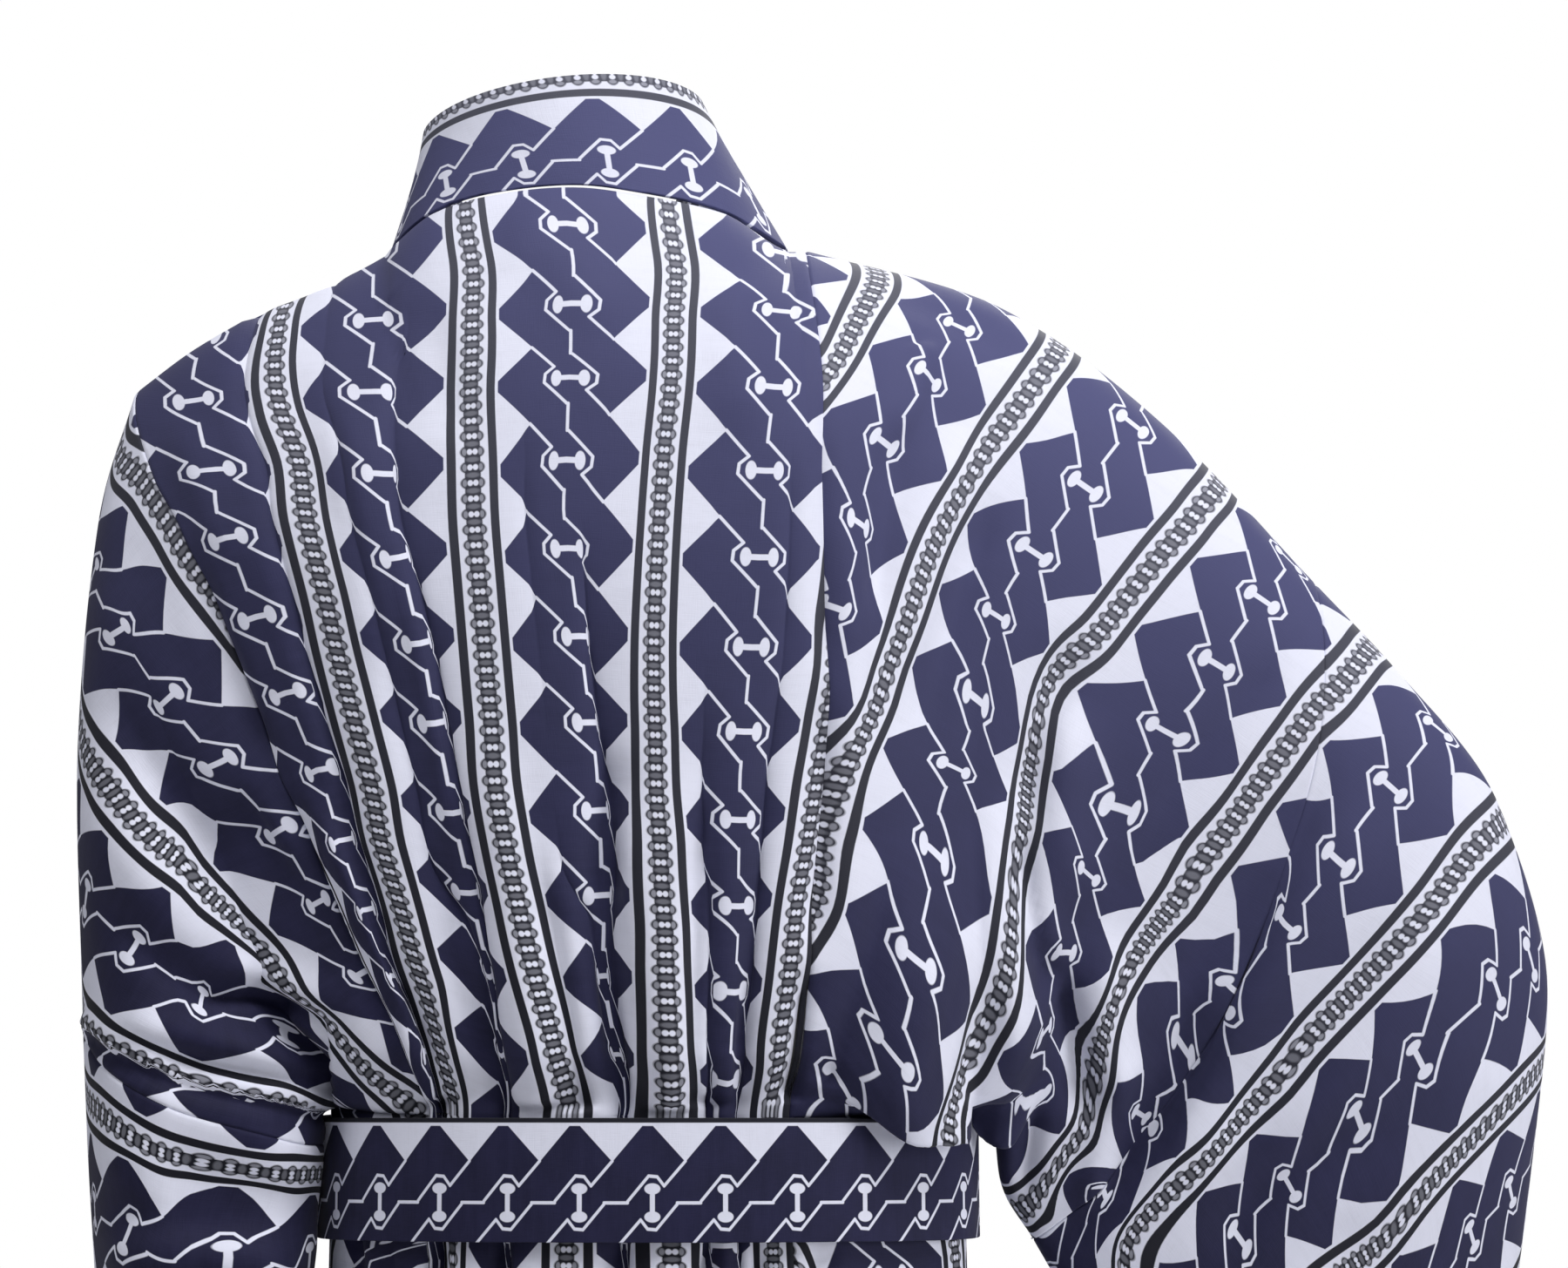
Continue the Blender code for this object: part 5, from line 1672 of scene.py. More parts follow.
SAGS = (
    Sag((-0.215, -0.185, -0.150, -0.108), (0.018, 0.045),
        (-0.3565, -0.3515, -0.290, -0.235), (-0.002, 0.012, 0.0)),
    Sag((-0.215, -0.185, -0.150, -0.108), (0.018, 0.045),
        (-0.3525, -0.3450, -0.320, -0.240), (0.0, 0.0, -0.024)),
    Sag((0.095, 0.100, 0.130, 0.160), (0.012, 0.034),
        (-0.520, -0.450, -0.345, -0.310), (-0.0140, 0.004, 0.0)),
    Sag((-0.205, -0.190, -0.177, -0.162), (0.010, 0.030),
        (-0.366, -0.3585, -0.3525, -0.345), (0.003, 0.008, -0.025)),
)
GATHERS = Gathers(
    rows=(
        BackRow(300, (196, 320, 432, 542, 658, 776, 900, 912), (-150, 139), (85, 50, 50, 50)),
        BackRow(370, (226, 320, 430, 543, 655, 773, 893, 920), (-152, 145), (85, 40, 50, 50)),
        BackRow(450, (221, 317, 425, 540, 652, 769, 888, 930), (-156, 153), (85, 25, 50, 50)),
        BackRow(525, (240, 340, 438, 542, 651, 763, 880, 934), (-154, 159), (85, 13, 40, 50)),
        BackRow(600, (256, 352, 450, 545, 649, 757, 876, 938), (-152, 165), (85, 12, 20, 50)),
        BackRow(675, (284, 371, 469, 551, 658, 753, 869, 938), (-150, 168), (85, 17, 15, 50)),
        BackRow(750, (310, 388, 486, 557, 667, 750, 862, 937), (-148, 172), (85, 22, 13, 50)),
        BackRow(825, (340, 407, 501, 563, 677, 751, 854, 925), (-152, 176), (85, 26, 15, 50)),
        BackRow(900, (371, 425, 516, 569, 687, 753, 846, 911), (-157, 180), (85, 28, 20, 50)),
        BackRow(975, (396, 440, 530, 583, 690, 758, 845, 900), (-166, 182), (85, 26, 22, 50)),
        BackRow(1050, (421, 462, 543, 598, 692, 762, 844, 889), (-174, 185), (85, 15, 15, 50)),
        BackRow(1125, (450, 483, 556, 616, 697, 765, 838, 880), (-175, 186), (85, 4, 4, 50)),
        BackRow(1200, (480, 505, 567, 635, 705, 768, 832, 871), (-176, 187), (85, 2, 2, 50)),
        BackRow(1270, (500, 522, 580, 652, 715, 770, 828, 864), (-176, 187), (85, 2, 2, 50)),
    ),
    bars=(
        BackBars(-2, (380, 455, 540, 615, 710, 795, 885, 965, 1045, 1122, 1209)),
        BackBars(-3, (285, 365, 450, 545, 640, 738, 830, 935, 1025, 1125, 1215)),
        BackBars(-3, (264, 355, 432, 528, 630, 730, 830, 930, 1030, 1122, 1212)),
        BackBars(-3, (290, 355, 445, 540, 640, 743, 840, 940, 1040, 1137, 1240)),
    ),
)
ROUTES_RIGHT = (
    Route(0.0, ((1010, 330), (945, 440))),
    Route(88.0, ((1215, 400), (1130, 520), (1075, 600), (1020, 760), (950, 930))),
    Route(176.0, ((1402, 558), (1366, 599), (1330, 640), (1297, 678), (1265, 715), (1233, 755),
          (1201, 795), (1190, 845), (1183, 895), (1168, 985), (1147, 1082),
          (1121, 1138), (1103, 1184), (1089, 1230), (1066, 1276))),
    Route(264.0, ((1580, 740), (1500, 825), (1365, 1010), (1300, 1100), (1250, 1190), (1257, 1240),
          (1250, 1280), (1215, 1340), (1175, 1398))),
    Route(352.0, ((1725, 930), (1633, 1050), (1473, 1228), (1399, 1319), (1328, 1378), (1295, 1411),
          (1287, 1456))),
    Route(440.0, ((1764, 1228), (1544, 1448))),
    Route(44.0, ((1098, 377), (1063, 432), (1018, 505), (983, 603), (965, 697)), -2),
    Route(132.0, ((1297, 490), (1243, 562), (1188, 636), (1142, 713), (1123, 795), (1100, 880),
          (1072, 975), (1043, 1070), (1017, 1156), (968, 1238)), -2),
    Route(220.0, ((1450, 685), (1398, 761), (1340, 845), (1286, 930), (1243, 1010), (1220, 1097)),
          -1),
    Route(220.0, ((1205, 1230), (1160, 1300)), 6),
    Route(308.0, ((1650, 830), (1597, 900), (1533, 987), (1475, 1065), (1415, 1150), (1355, 1215),
          (1303, 1290), (1245, 1365)), -1),
    Route(396.0, ((1725, 1130), (1628, 1215), (1560, 1297), (1482, 1357), (1422, 1425)), 1),
)
ROUTES_LEFT = (
    Route(0.0, ((136, 500), (180, 580), (248, 692))),
    Route(-88.0, ((109, 885), (180, 965), (260, 1050), (330, 1122), (368, 1163))),
    Route(-174.0, ((90, 1149), (109, 1178), (170, 1215), (238, 1245), (349, 1274))),
    Route(-44.0, ((146, 734), (200, 808), (260, 880), (318, 959), (363, 1043), (406, 1122)), 0),
    Route(-132.0, ((99, 1024), (159, 1094), (224, 1154), (291, 1168)), 2),
)
ROUTES_LEFT_SLEEVE = (
    Route(0.0, ((101, 1260), (152, 1306), (198, 1331), (255, 1341), (358, 1345))),
    Route(-44.0, ((152, 1413), (236, 1437), (315, 1439)), 0),
)
TURNS_RIGHT = (-180.0, -120.0, -60.0, -20.0, 0.0, 20.0, 40.0, 60.0, 75.0, 90.0, 100.0, 110.0,
               120.0, 130.0, 140.0, 150.0, 165.0, 180.0)
TURNS_RIGHT_SLEEVE = (-180.0, -120.0, -60.0, -20.0, 0.0, 20.0, 40.0, 60.0, 75.0, 90.0, 105.0, 120.0,
                      135.0, 150.0, 165.0, 180.0)
TURNS_LEFT = (-180.0, -140.0, -100.0, -60.0, -20.0, 0.0, 20.0, 40.0, 60.0, 80.0, 100.0, 120.0,
               140.0, 160.0, 180.0)
PLAN_SIDE = {
    Side.RIGHT: LayPlan((0.0, 0.5, 1.0, 1.5, 2.0, 2.33, 2.67, 3.0), TURNS_RIGHT, ROUTES_RIGHT,
                        start=-20.0, way=1.0, size_hold=5.5),
    Side.LEFT: LayPlan((0.0, 0.5, 1.0, 1.5, 2.0, 2.5, 3.0), TURNS_LEFT, ROUTES_LEFT,
                       start=20.0, way=-1.0, size_hold=5.0, drifts=True),
}
PLAN_SLEEVE = {
    Side.RIGHT: LayPlan((3.0, 3.3, 3.7, 4.2, 4.9, 5.6, 6.3, 7.0), TURNS_RIGHT_SLEEVE, ROUTES_RIGHT,
                        start=234.0, way=1.0, size_hold=4.0, joins=True),
    Side.LEFT: LayPlan((3.0, 3.6, 4.2, 4.9, 5.6, 6.3, 7.0), TURNS_LEFT, ROUTES_LEFT_SLEEVE,
                       start=19.0, way=-1.0, size_hold=5.0, edge=19.0, drifts=True),
}


# ------------------------------------------------------------------ pieces of the robe
@dataclass(frozen=True)
class Cut:
    """The size that a piece was cut to, and how it is held when worn."""

    width: float
    length: float
    held: str
    rests_on: tuple[str, ...]
    area: float | None = None


@dataclass
class Finishes:
    """Materials shared by the pieces."""

    face: bpy.types.Material
    reverse: bpy.types.Material

    @property
    def pair(self) -> list[bpy.types.Material]:
        """Printed face and reverse, in the order that the pieces use."""
        return [self.face, self.reverse]


def dress(piece: bpy.types.Object, cloth: Cloth, node: str) -> bpy.types.Object:
    """Fasten a piece to the frame in its node's place, hide the node's solid and log the area of its cloth.

    Args:
        piece: The new piece.
        cloth: The strip it was made from.
        node: The node that it stands for.

    Returns:
        The piece.
    """
    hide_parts(node)
    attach(piece, "root")
    LOG.info("%s: %d corners, %.3f square metres of cloth",
             piece.name, len(piece.data.vertices), cloth.area())
    return piece


@dataclass
class BodyRows:
    """Heights of the rows of a body panel, hem first, with the hem turned in."""

    skirt: int = 104
    bodice: int = 112
    hem: float = 0.018
    hem_inset: float = 0.0018

    def heights(self) -> tuple[Array, Array]:
        """Heights of the skirt's rows and how far each is set in for the hem."""
        up = np.array([1.0, 0.6, 0.2, 0.03, 0.0])
        inside = HEM_Z + self.hem * up
        inset = self.hem_inset * np.array([0.55, 1.0, 1.0, 0.75, 0.30])
        hem = [0.0004, 0.0020, 0.0060]
        outside = HEM_Z + np.concatenate([hem, np.linspace(0.012, -0.4 - HEM_Z, self.skirt)])
        upper = np.linspace(-0.396, UNDERARM_Z, 12, endpoint=False)
        heights = np.concatenate([inside, outside, upper])
        return heights, np.concatenate([inset, [0.0001], np.zeros(len(heights) - len(inset) - 1)])

    def shares(self) -> Array:
        """Shares of the way from the underarm to the top edge."""
        turn = np.linspace(0.0, 1.0, self.bodice + 1)
        turn = np.concatenate([turn[:-1], [0.9966, 1.0]])
        return 0.5 * (1.0 - np.cos(math.pi * turn))


def hang_print(cloth: Cloth, lay_rows: int, anchor: int) -> None:
    """Let the print hang straight below the fitted rows, at its own size.

    Args:
        cloth: The strip, with its print placed on the rows from lay_rows up.
        lay_rows: First row that already has its print.
        anchor: Column that keeps its place across the print.
    """
    across = lengths(cloth.places, 1)
    across = across - across[:, anchor:anchor + 1]
    top = cloth.print_at[lay_rows]
    straight = np.zeros_like(cloth.print_at[:lay_rows])
    drop = cloth.places[lay_rows, anchor, 2] - cloth.places[:lay_rows, :, 2]
    straight[..., 0] = top[anchor, 0] + across[:lay_rows]
    straight[..., 1] = top[anchor, 1] + drop
    meet = (1.0 - ramp(drop, 0.0, 0.070))[..., None]
    fitted = top[None] + np.stack([np.zeros_like(drop), drop], axis=-1)
    cloth.print_at[:lay_rows] = lerp(straight, fitted, meet)


@dataclass
class BackPanel:
    """The back of the body, one width of cloth gathered in at the belt."""

    form: RobeForm
    rows: BodyRows = field(default_factory=BodyRows)
    width: float = 0.33
    wall: float = 0.0010

    def cloth(self) -> Cloth:
        """Lay out the panel's grid, its columns following the threads of the cloth."""
        heights, inset = self.rows.heights()
        across, high, shown, furrows = GATHERS.lay(self.form.back_upper, self.rows.shares())
        threads = shown[0, :, 0]
        even = (threads - threads[0]) / (threads[-1] - threads[0])
        loose = ramp(UNDERARM_Z - heights, 0.06, 0.26)[:, None]
        low_across = lerp(across[:1], even[None], loose)
        low = self.form.back_lower(low_across, heights[:, None] * np.ones(low_across.shape))
        places = np.concatenate([low, high])
        count = len(places)
        grid_across = np.concatenate([low_across, across])
        blank = np.zeros(low.shape[:2] + (2,))
        cloth = Cloth(places, np.concatenate([blank, shown]), facing=1.0, turned=(6, 0))
        hang_print(cloth, len(heights), len(threads) // 2)
        cloth.print_at[:len(heights), :, 0] = threads
        edge = np.minimum(grid_across, 1.0 - grid_across) * self.width
        amount = -tuck(edge)
        amount[:len(heights)] -= inset[:, None]
        top_gap = places[-1, :, 2][None] - places[:, :, 2]
        amount -= tuck(np.where(np.arange(count)[:, None] >= len(heights), top_gap, 1.0), 0.0008)
        held = ramp(edge, 0.0, 0.006)
        lift = np.concatenate([(1.0 - loose) * furrows[:1], furrows]) * held
        cloth.push(amount + lift + crease_lift(CREASES_BEHIND, cloth, 1.0))
        return cloth

    def build(self, finishes: Finishes) -> bpy.types.Object:
        """Make the panel."""
        cloth = self.cloth()
        piece = cloth.object("cloth_back", self.wall, finishes.pair)
        return dress(piece, cloth, "back_panel")


@dataclass
class FrontPanel:
    """One of the two fronts; the left one laps over the right one."""

    form: RobeForm
    side: Side
    rows: BodyRows = field(default_factory=lambda: BodyRows(skirt=92, bodice=78))
    columns: int = 70
    width: float = 0.26
    wall: float = 0.0010

    def cloth(self) -> Cloth:
        """Lay out the front's grid, seam first and free edge last."""
        heights, inset = self.rows.heights()
        shares = self.rows.shares()
        across = spaced(self.columns, self.width, True, True)
        low = self.form.front_lower(self.side, *np.meshgrid(across, heights))
        high = self.form.front_upper(self.side, *np.meshgrid(across, shares))
        places = np.concatenate([low, high])
        sign = self.side.sign
        grid_across = np.broadcast_to(across, places.shape[:2])
        run = lengths(places, 1)[len(heights):]
        drop = -places[len(heights):, :, 2]
        start = 0.112 if self.side is Side.RIGHT else 0.135
        shown = np.stack([(start - run) * -sign, drop * 1.02 + 0.012], axis=-1)
        blank = np.zeros((len(heights), len(across), 2))
        cloth = Cloth(places, np.concatenate([blank, shown]), facing=-sign, turned=(6, 0))
        hang_print(cloth, len(heights), len(across) // 2)
        if sign < 0.0:
            cloth.print_at[:len(heights), :, 0] = cloth.print_at[len(heights), :, 0]
        edge = np.minimum(grid_across, 1.0 - grid_across) * self.width
        amount = -tuck(edge)
        amount[:len(heights)] -= inset[:, None]
        top_gap = places[-1, :, 2][None] - places[:, :, 2]
        amount -= tuck(np.where(np.arange(len(places))[:, None] >= len(heights), top_gap, 1.0), 0.0008)
        cloth.push(amount + crease_lift(CREASES_BEFORE[self.side], cloth, -1.0))
        return cloth

    def build(self, finishes: Finishes) -> bpy.types.Object:
        """Make the front."""
        cloth = self.cloth()
        name = self.side.value
        piece = cloth.object("cloth_front_" + name, self.wall, finishes.pair)
        return dress(piece, cloth, "front_" + name)


@dataclass
class SideStrip:
    """The strip from the back hem over the shoulder to the front hem, out to the sleeve seam."""

    form: RobeForm
    side: Side
    rows: BodyRows = field(default_factory=lambda: BodyRows(skirt=92, bodice=112))
    body_columns: int = 24
    sleeve_columns: int = 52
    width: float = 0.27
    wall: float = 0.0010

    def cloth(self) -> Cloth:
        """Lay out the strip's grid; its rows run back hem, shoulder, front hem."""
        side, form = self.side, self.form
        sign = side.sign
        rings = RINGS[side][0]
        heights, inset = self.rows.heights()
        turn = np.linspace(0.0, 1.0, self.rows.bodice + 1)
        shares = 0.5 * (1.0 - np.cos(math.pi * turn))
        inner = spaced(self.body_columns, self.width * 0.36, True, False)
        outer = 1.0 + 2.0 * spaced(self.sleeve_columns, self.width * 0.64, False, True)[1:]
        stations = np.concatenate([inner, outer])
        halves = [self.half(behind, stations, heights, shares, turn, rings) for behind in (True, False)]
        places = np.concatenate([halves[0], halves[1][::-1][1:]])
        skirt = len(heights)
        count = len(places)
        row = np.arange(count)
        bodice = (row >= skirt) & (row < count - skirt)
        kept = bodice[:, None] | (stations[None] <= 1.0 + 1e-9)
        degrees = np.concatenate([180.0 * (1.0 - turn), -180.0 * (1.0 - turn[::-1])[1:]])
        print_at = np.zeros((count, len(stations), 2))
        where = np.meshgrid(stations, degrees)
        lay = arm_lays(form, side)[0].shown(where[0], where[1])
        print_at[bodice] = lay
        cloth = Cloth(places, print_at, facing=-sign, kept=kept, turned=(6, 6))
        anchor = len(inner) - 1
        hang_print(cloth, skirt, anchor)
        flipped = Cloth(places[::-1], print_at[::-1], facing=sign)
        hang_print(flipped, skirt, anchor)
        hem = np.zeros(count)
        hem[:skirt], hem[count - skirt:] = inset, inset[::-1]
        seam_in = tuck(stations * self.width * 0.36)
        seam_out = tuck((3.0 - stations) / 2.0 * self.width * 0.64)
        amount = -(seam_in + seam_out)[None] * np.ones((count, 1)) - hem[:, None]
        if side is Side.LEFT:
            beyond = bodice[:, None] * ramp(stations, 1.0, 1.12)[None]
            cloth.print_at += (past_seam(cloth) * beyond)[..., None] * np.array(SEAM_SHIFT)
        weld = np.abs(places[..., 1]) < 1e-9
        lift = crease_lift(CREASES_BEHIND, cloth, 1.0) + crease_lift(CREASES_BEFORE[side], cloth, -1.0)
        amount = np.where(weld & ~bodice[:, None], 0.0, amount) + np.where(weld, 0.0, lift)
        cloth.push(amount)
        loose = ((row > skirt) & (row < count - skirt))[:, None, None]
        cloth.places = cloth.places + loose * sum(sag.shift(cloth.places) for sag in SAGS)
        return cloth

    def arm_grid(self) -> ArmGrid:
        """The plain form above the underarm, evenly spaced, to lay the print on."""
        turn = np.linspace(0.0, 1.0, self.rows.bodice + 1)
        shares = 0.5 * (1.0 - np.cos(math.pi * turn))
        stations = np.linspace(0.0, 3.0, STRIP_COLUMNS)
        heights = self.rows.heights()[0][-1:]
        back, front = (self.half(behind, stations, heights, shares, turn, RINGS[self.side][0])[1:]
                       for behind in (True, False))
        degrees = np.concatenate([180.0 * (1.0 - turn), -180.0 * (1.0 - turn[::-1])[1:]])
        return ArmGrid(np.concatenate([back, front[::-1][1:]]), stations, degrees)

    def half(self, behind: bool, stations: Array, heights: Array, shares: Array,
             turn: Array, rings: Table) -> Array:
        """Places of one half of the strip, hem row first and ridge row last.

        Args:
            behind: Whether it is the back half.
            stations: Places across, 0 at the body seam and 3 at the sleeve seam.
            heights: Heights of the skirt's rows.
            shares: Shares of the bodice's rows.
            turn: Even turns of the same rows from the low edge to the ridge.
            rings: The inner sleeve's rings.

        Returns:
            Rows by columns of points.
        """
        side, form, sign = self.side, self.form, self.side.sign
        seam_name = ("back_" if behind else "front_") + side.value
        across, z = np.meshgrid(np.minimum(stations, 1.0), heights)
        start = form.angle_at(SEAMS.at(seam_name, z), z, behind)
        if sign < 0.0 and not behind:
            start = start - 2.0 * math.pi
        outer = form.outer_amount(z) * (1.0 - across) if side is Side.LEFT else 0.0
        low = form.body(lerp(start, sign * math.pi / 2.0, across), z, outer)

        back_across = 0.0 if side is Side.LEFT else 1.0
        if behind:
            first = form.back_upper(np.full(shares.shape, back_across), shares)
        else:
            first = form.front_upper(side, np.zeros(shares.shape), shares)
        ring_angle = math.pi * (1.0 - turn) * (1.0 if behind else -1.0)
        controls = [first] + [form.ring(rings, side, key, ring_angle) for key in rings.keys]
        keys = np.concatenate([[0.0], rings.keys])
        shape = (len(shares), len(stations), 3)
        grid_controls = np.stack([np.broadcast_to(c[:, None], shape) for c in controls])
        at = np.broadcast_to(stations[None, :, None], shape)
        high = smooth_curve(keys, grid_controls, at)
        feet = [first[0]] + [form.ring(rings, side, key, math.pi) for key in rings.keys]
        foot_controls = np.stack([np.broadcast_to(f, (len(stations), 3)) for f in feet])
        chord = smooth_curve(keys, foot_controls, at[0])
        angle = float(form.angle_at(SEAMS.at(seam_name, UNDERARM_Z), UNDERARM_Z, behind))
        if sign < 0.0 and not behind:
            angle -= 2.0 * math.pi
        on_station = np.minimum(stations, 1.0)
        gap = form.outer_amount(UNDERARM_Z) * (1.0 - on_station) if side is Side.LEFT else 0.0
        on_body = form.body(lerp(angle, sign * math.pi / 2.0, on_station), UNDERARM_Z, gap)
        inside = ((stations > 0.0) & (stations < 1.0))[None, :, None]
        high = high + inside * (on_body - chord)[None] * ((1.0 - shares) ** 4)[:, None, None]
        return np.concatenate([low, high])

    def build(self, finishes: Finishes) -> bpy.types.Object:
        """Make the strip."""
        cloth = self.cloth()
        name = self.side.value
        piece = cloth.object("cloth_side_" + name, self.wall, finishes.pair)
        return dress(piece, cloth, "side_" + name)


@dataclass
class Sleeve:
    """The outer width of a sleeve, a hanging tube from the sleeve seam to the open cuff."""

    form: RobeForm
    side: Side
    columns: int = 64
    half_around: int = 118
    width: float = 0.33
    wall: float = 0.0010
    hem: float = 0.012

    def cloth(self) -> Cloth:
        """Lay out the sleeve's grid; rows run along the sleeve and columns round it."""
        rings = RINGS[self.side][1]
        first, last = float(rings.keys[0]), float(rings.keys[-1])
        shares = spaced(self.columns, self.width, True, False)
        back_in = 1.0 - np.array([0.0, 0.03, 0.2, 0.6, 1.0]) * self.hem / self.width
        shares = np.concatenate([shares, back_in])
        turned = 0.0018 * np.array([0.3, 0.75, 1.0, 1.0, 0.55])
        inset = np.concatenate([np.zeros(len(shares) - 6), [0.0001], turned])
        angles = np.linspace(math.pi, -math.pi, 2 * self.half_around + 1)
        around, stations = np.meshgrid(angles, lerp(first, last, shares))
        places = self.form.ring(rings, self.side, stations, around)
        lay = arm_lays(self.form, self.side)[1].shown(stations, np.degrees(around))
        cloth = Cloth(places, lay, facing=self.side.sign, turned=(0, 6))
        lift = crease_lift(CREASES_BEHIND, cloth, 1.0) + crease_lift(CREASES_BEFORE[self.side], cloth, -1.0)
        lift[:, 0] = lift[:, -1] = 0.0
        cloth.push(lift - (tuck(shares * self.width) + inset)[:, None])
        cloth.places = cloth.places + sum(sag.shift(cloth.places) for sag in SAGS)
        cloth.places[:, -1] = cloth.places[:, 0]
        return cloth

    def arm_grid(self) -> ArmGrid:
        """The sleeve's plain form, evenly spaced, to lay the print on."""
        degrees = np.linspace(180.0, -180.0, SLEEVE_ROWS)
        stations = np.linspace(3.0, 7.0, SLEEVE_COLUMNS)
        across, around = np.meshgrid(stations, np.radians(degrees))
        return ArmGrid(self.form.ring(RINGS[self.side][1], self.side, across, around), stations, degrees)

    def build(self, finishes: Finishes) -> bpy.types.Object:
        """Make the sleeve."""
        cloth = self.cloth()
        name = self.side.value
        piece = cloth.object("cloth_sleeve_" + name, self.wall, finishes.pair)
        return dress(piece, cloth, "sleeve_" + name)


@cache
def arm_lays(form: RobeForm, side: Side) -> tuple[PrintLay, PrintLay]:
    """Lay the print on one arm.

    Args:
        form: The robe's form.
        side: The arm.

    Returns:
        The lay on the strip over the shoulder and the lay on the sleeve.
    """
    strip, sleeve = SideStrip(form, side).arm_grid(), Sleeve(form, side).arm_grid()
    first = PLAN_SIDE[side].fit(strip, sleeve)
    return first, PLAN_SLEEVE[side].fit(sleeve, strip, first)


def settle(places: Array, spread: float) -> Array:
    """Even out a run of rows along its length, its ends held.

    Args:
        places: Rows by columns of points.
        spread: Width of the averaging, in rows.

    Returns:
        The evened rows.
    """
    reach = int(math.ceil(3.0 * spread))
    weights = np.exp(-0.5 * (np.arange(-reach, reach + 1) / spread) ** 2)
    before, after = 2 * places[:1] - places[reach:0:-1], 2 * places[-1:] - places[-2:-reach - 2:-1]
    padded = np.concatenate([before, places, after])
    return sum(weight * padded[i:i + len(places)] for i, weight in enumerate(weights)) / weights.sum()


def rounded(piece: bpy.types.Object, width: float) -> None:
    """Round the rim of a folded band.

    Args:
        piece: The band, with its wall modifier.
        width: Size of the rounding.
    """
    bevel = piece.modifiers.new("fold", "BEVEL")
    bevel.width = width
    bevel.segments = 3
    bevel.limit_method = "ANGLE"
    bevel.angle_limit = math.radians(50.0)
    bevel.use_clamp_overlap = True


@dataclass
class Collar:
    """The folded band round the neck and down both front edges."""

    form: RobeForm
    end_z: float = -0.650
    front_rows: int = 74
    skirt_rows: int = 66
    neck_rows: int = 64
    columns: int = 12
    wall: float = 0.0023
    fold: float = 0.0009
    neck_span: tuple[float, float] = (10.0 / 26.0, 25.0 / 26.0)

    def front(self, side: Side, reach: Array) -> Array:
        """Rows of one front, from the neck down to the collar's end."""
        shares = 1.0 - 0.5 * (1.0 - np.cos(math.pi * np.linspace(0.0, 1.0, self.front_rows)))
        upper = self.form.front_upper(side, np.ones(shares.shape), shares)
        heights = np.linspace(UNDERARM_Z, self.end_z, self.skirt_rows)[1:]
        lower = self.form.front_lower(side, np.ones(heights.shape), heights)
        seam = np.concatenate([upper, lower])
        grid = np.broadcast_to(seam[:, None], (len(seam), len(reach), 3))
        return self.form.collar_front(side, grid, np.broadcast_to(reach, grid.shape[:2]))

    def neck(self, reach: Array) -> Array:
        """Rows behind the neck, from the left to the right."""
        along = np.linspace(0.0, 1.0, self.neck_rows)
        low = self.form.back_upper(lerp(self.neck_span[0], self.neck_span[1], along), np.ones(along.shape))
        low[..., 2] += self.form.collar_lift * 0.8
        turn = np.radians(lerp(-90.0, 90.0, along))
        high = stack(0.001 - 0.0590 * np.sin(turn), 0.004 + 0.0510 * np.cos(turn),
                     0.0575 + 0.0155 * np.cos(turn) + 0.0066 * np.sin(turn))
        return lerp(low[:, None], high[:, None], reach[None, :, None])

    def cloth(self) -> Cloth:
        """Lay out the band's grid, from the left end round to the right end."""
        reach = spaced(self.columns, self.form.collar_width, True, True)
        places = np.concatenate([self.front(Side.LEFT, reach)[::-1], self.neck(reach),
                                 self.front(Side.RIGHT, reach)])
        places = settle(places, 2.2)
        middle = len(places) // 2
        along = lengths(places, 0)[:, len(reach) // 2]
        along = along - along[middle]
        shown = np.zeros(places.shape[:2] + (2,))
        shown[..., 0] = lerp(0.013, -0.0445, reach)[None]
        shown[..., 1] = -along[:, None] + 0.012
        return Cloth(places, shown, facing=-1.0)

    def build(self, finishes: Finishes) -> bpy.types.Object:
        """Make the collar."""
        cloth = self.cloth()
        piece = cloth.object("cloth_collar", self.wall, [finishes.face])
        rounded(piece, self.fold)
        return dress(piece, cloth, "collar")


@dataclass
class Belt:
    """The narrow sash wound once round the waist."""

    form: RobeForm
    around: int = 360
    columns: int = 16
    wall: float = 0.0018
    fold: float = 0.0007
    print_scale: float = 1.234
    print_edge: tuple[float, float] = (0.0165, -0.0350)
    print_start: float = 0.0048

    def cloth(self) -> Cloth:
        """Lay out the belt's grid; rows run round the waist from the front."""
        share = spaced(self.columns, self.form.belt_width, True, True)
        turns = np.linspace(-math.pi, math.pi, self.around + 1)
        places = self.form.belt(*np.meshgrid(turns, share, indexing="ij"))
        along = lengths(places, 0)[:, len(share) // 2]
        along = along - along[self.around // 2]
        shown = np.zeros(places.shape[:2] + (2,))
        shown[..., 0] = lerp(self.print_edge[0], self.print_edge[1], share)[None]
        shown[..., 1] = along[:, None] * self.print_scale + self.print_start
        cloth = Cloth(places, shown, facing=1.0)
        cloth.places[-1] = cloth.places[0]
        return cloth

    def build(self, finishes: Finishes) -> bpy.types.Object:
        """Make the belt."""
        cloth = self.cloth()
        piece = cloth.object("cloth_belt", self.wall, [finishes.face])
        rounded(piece, self.fold)
        return dress(piece, cloth, "belt")


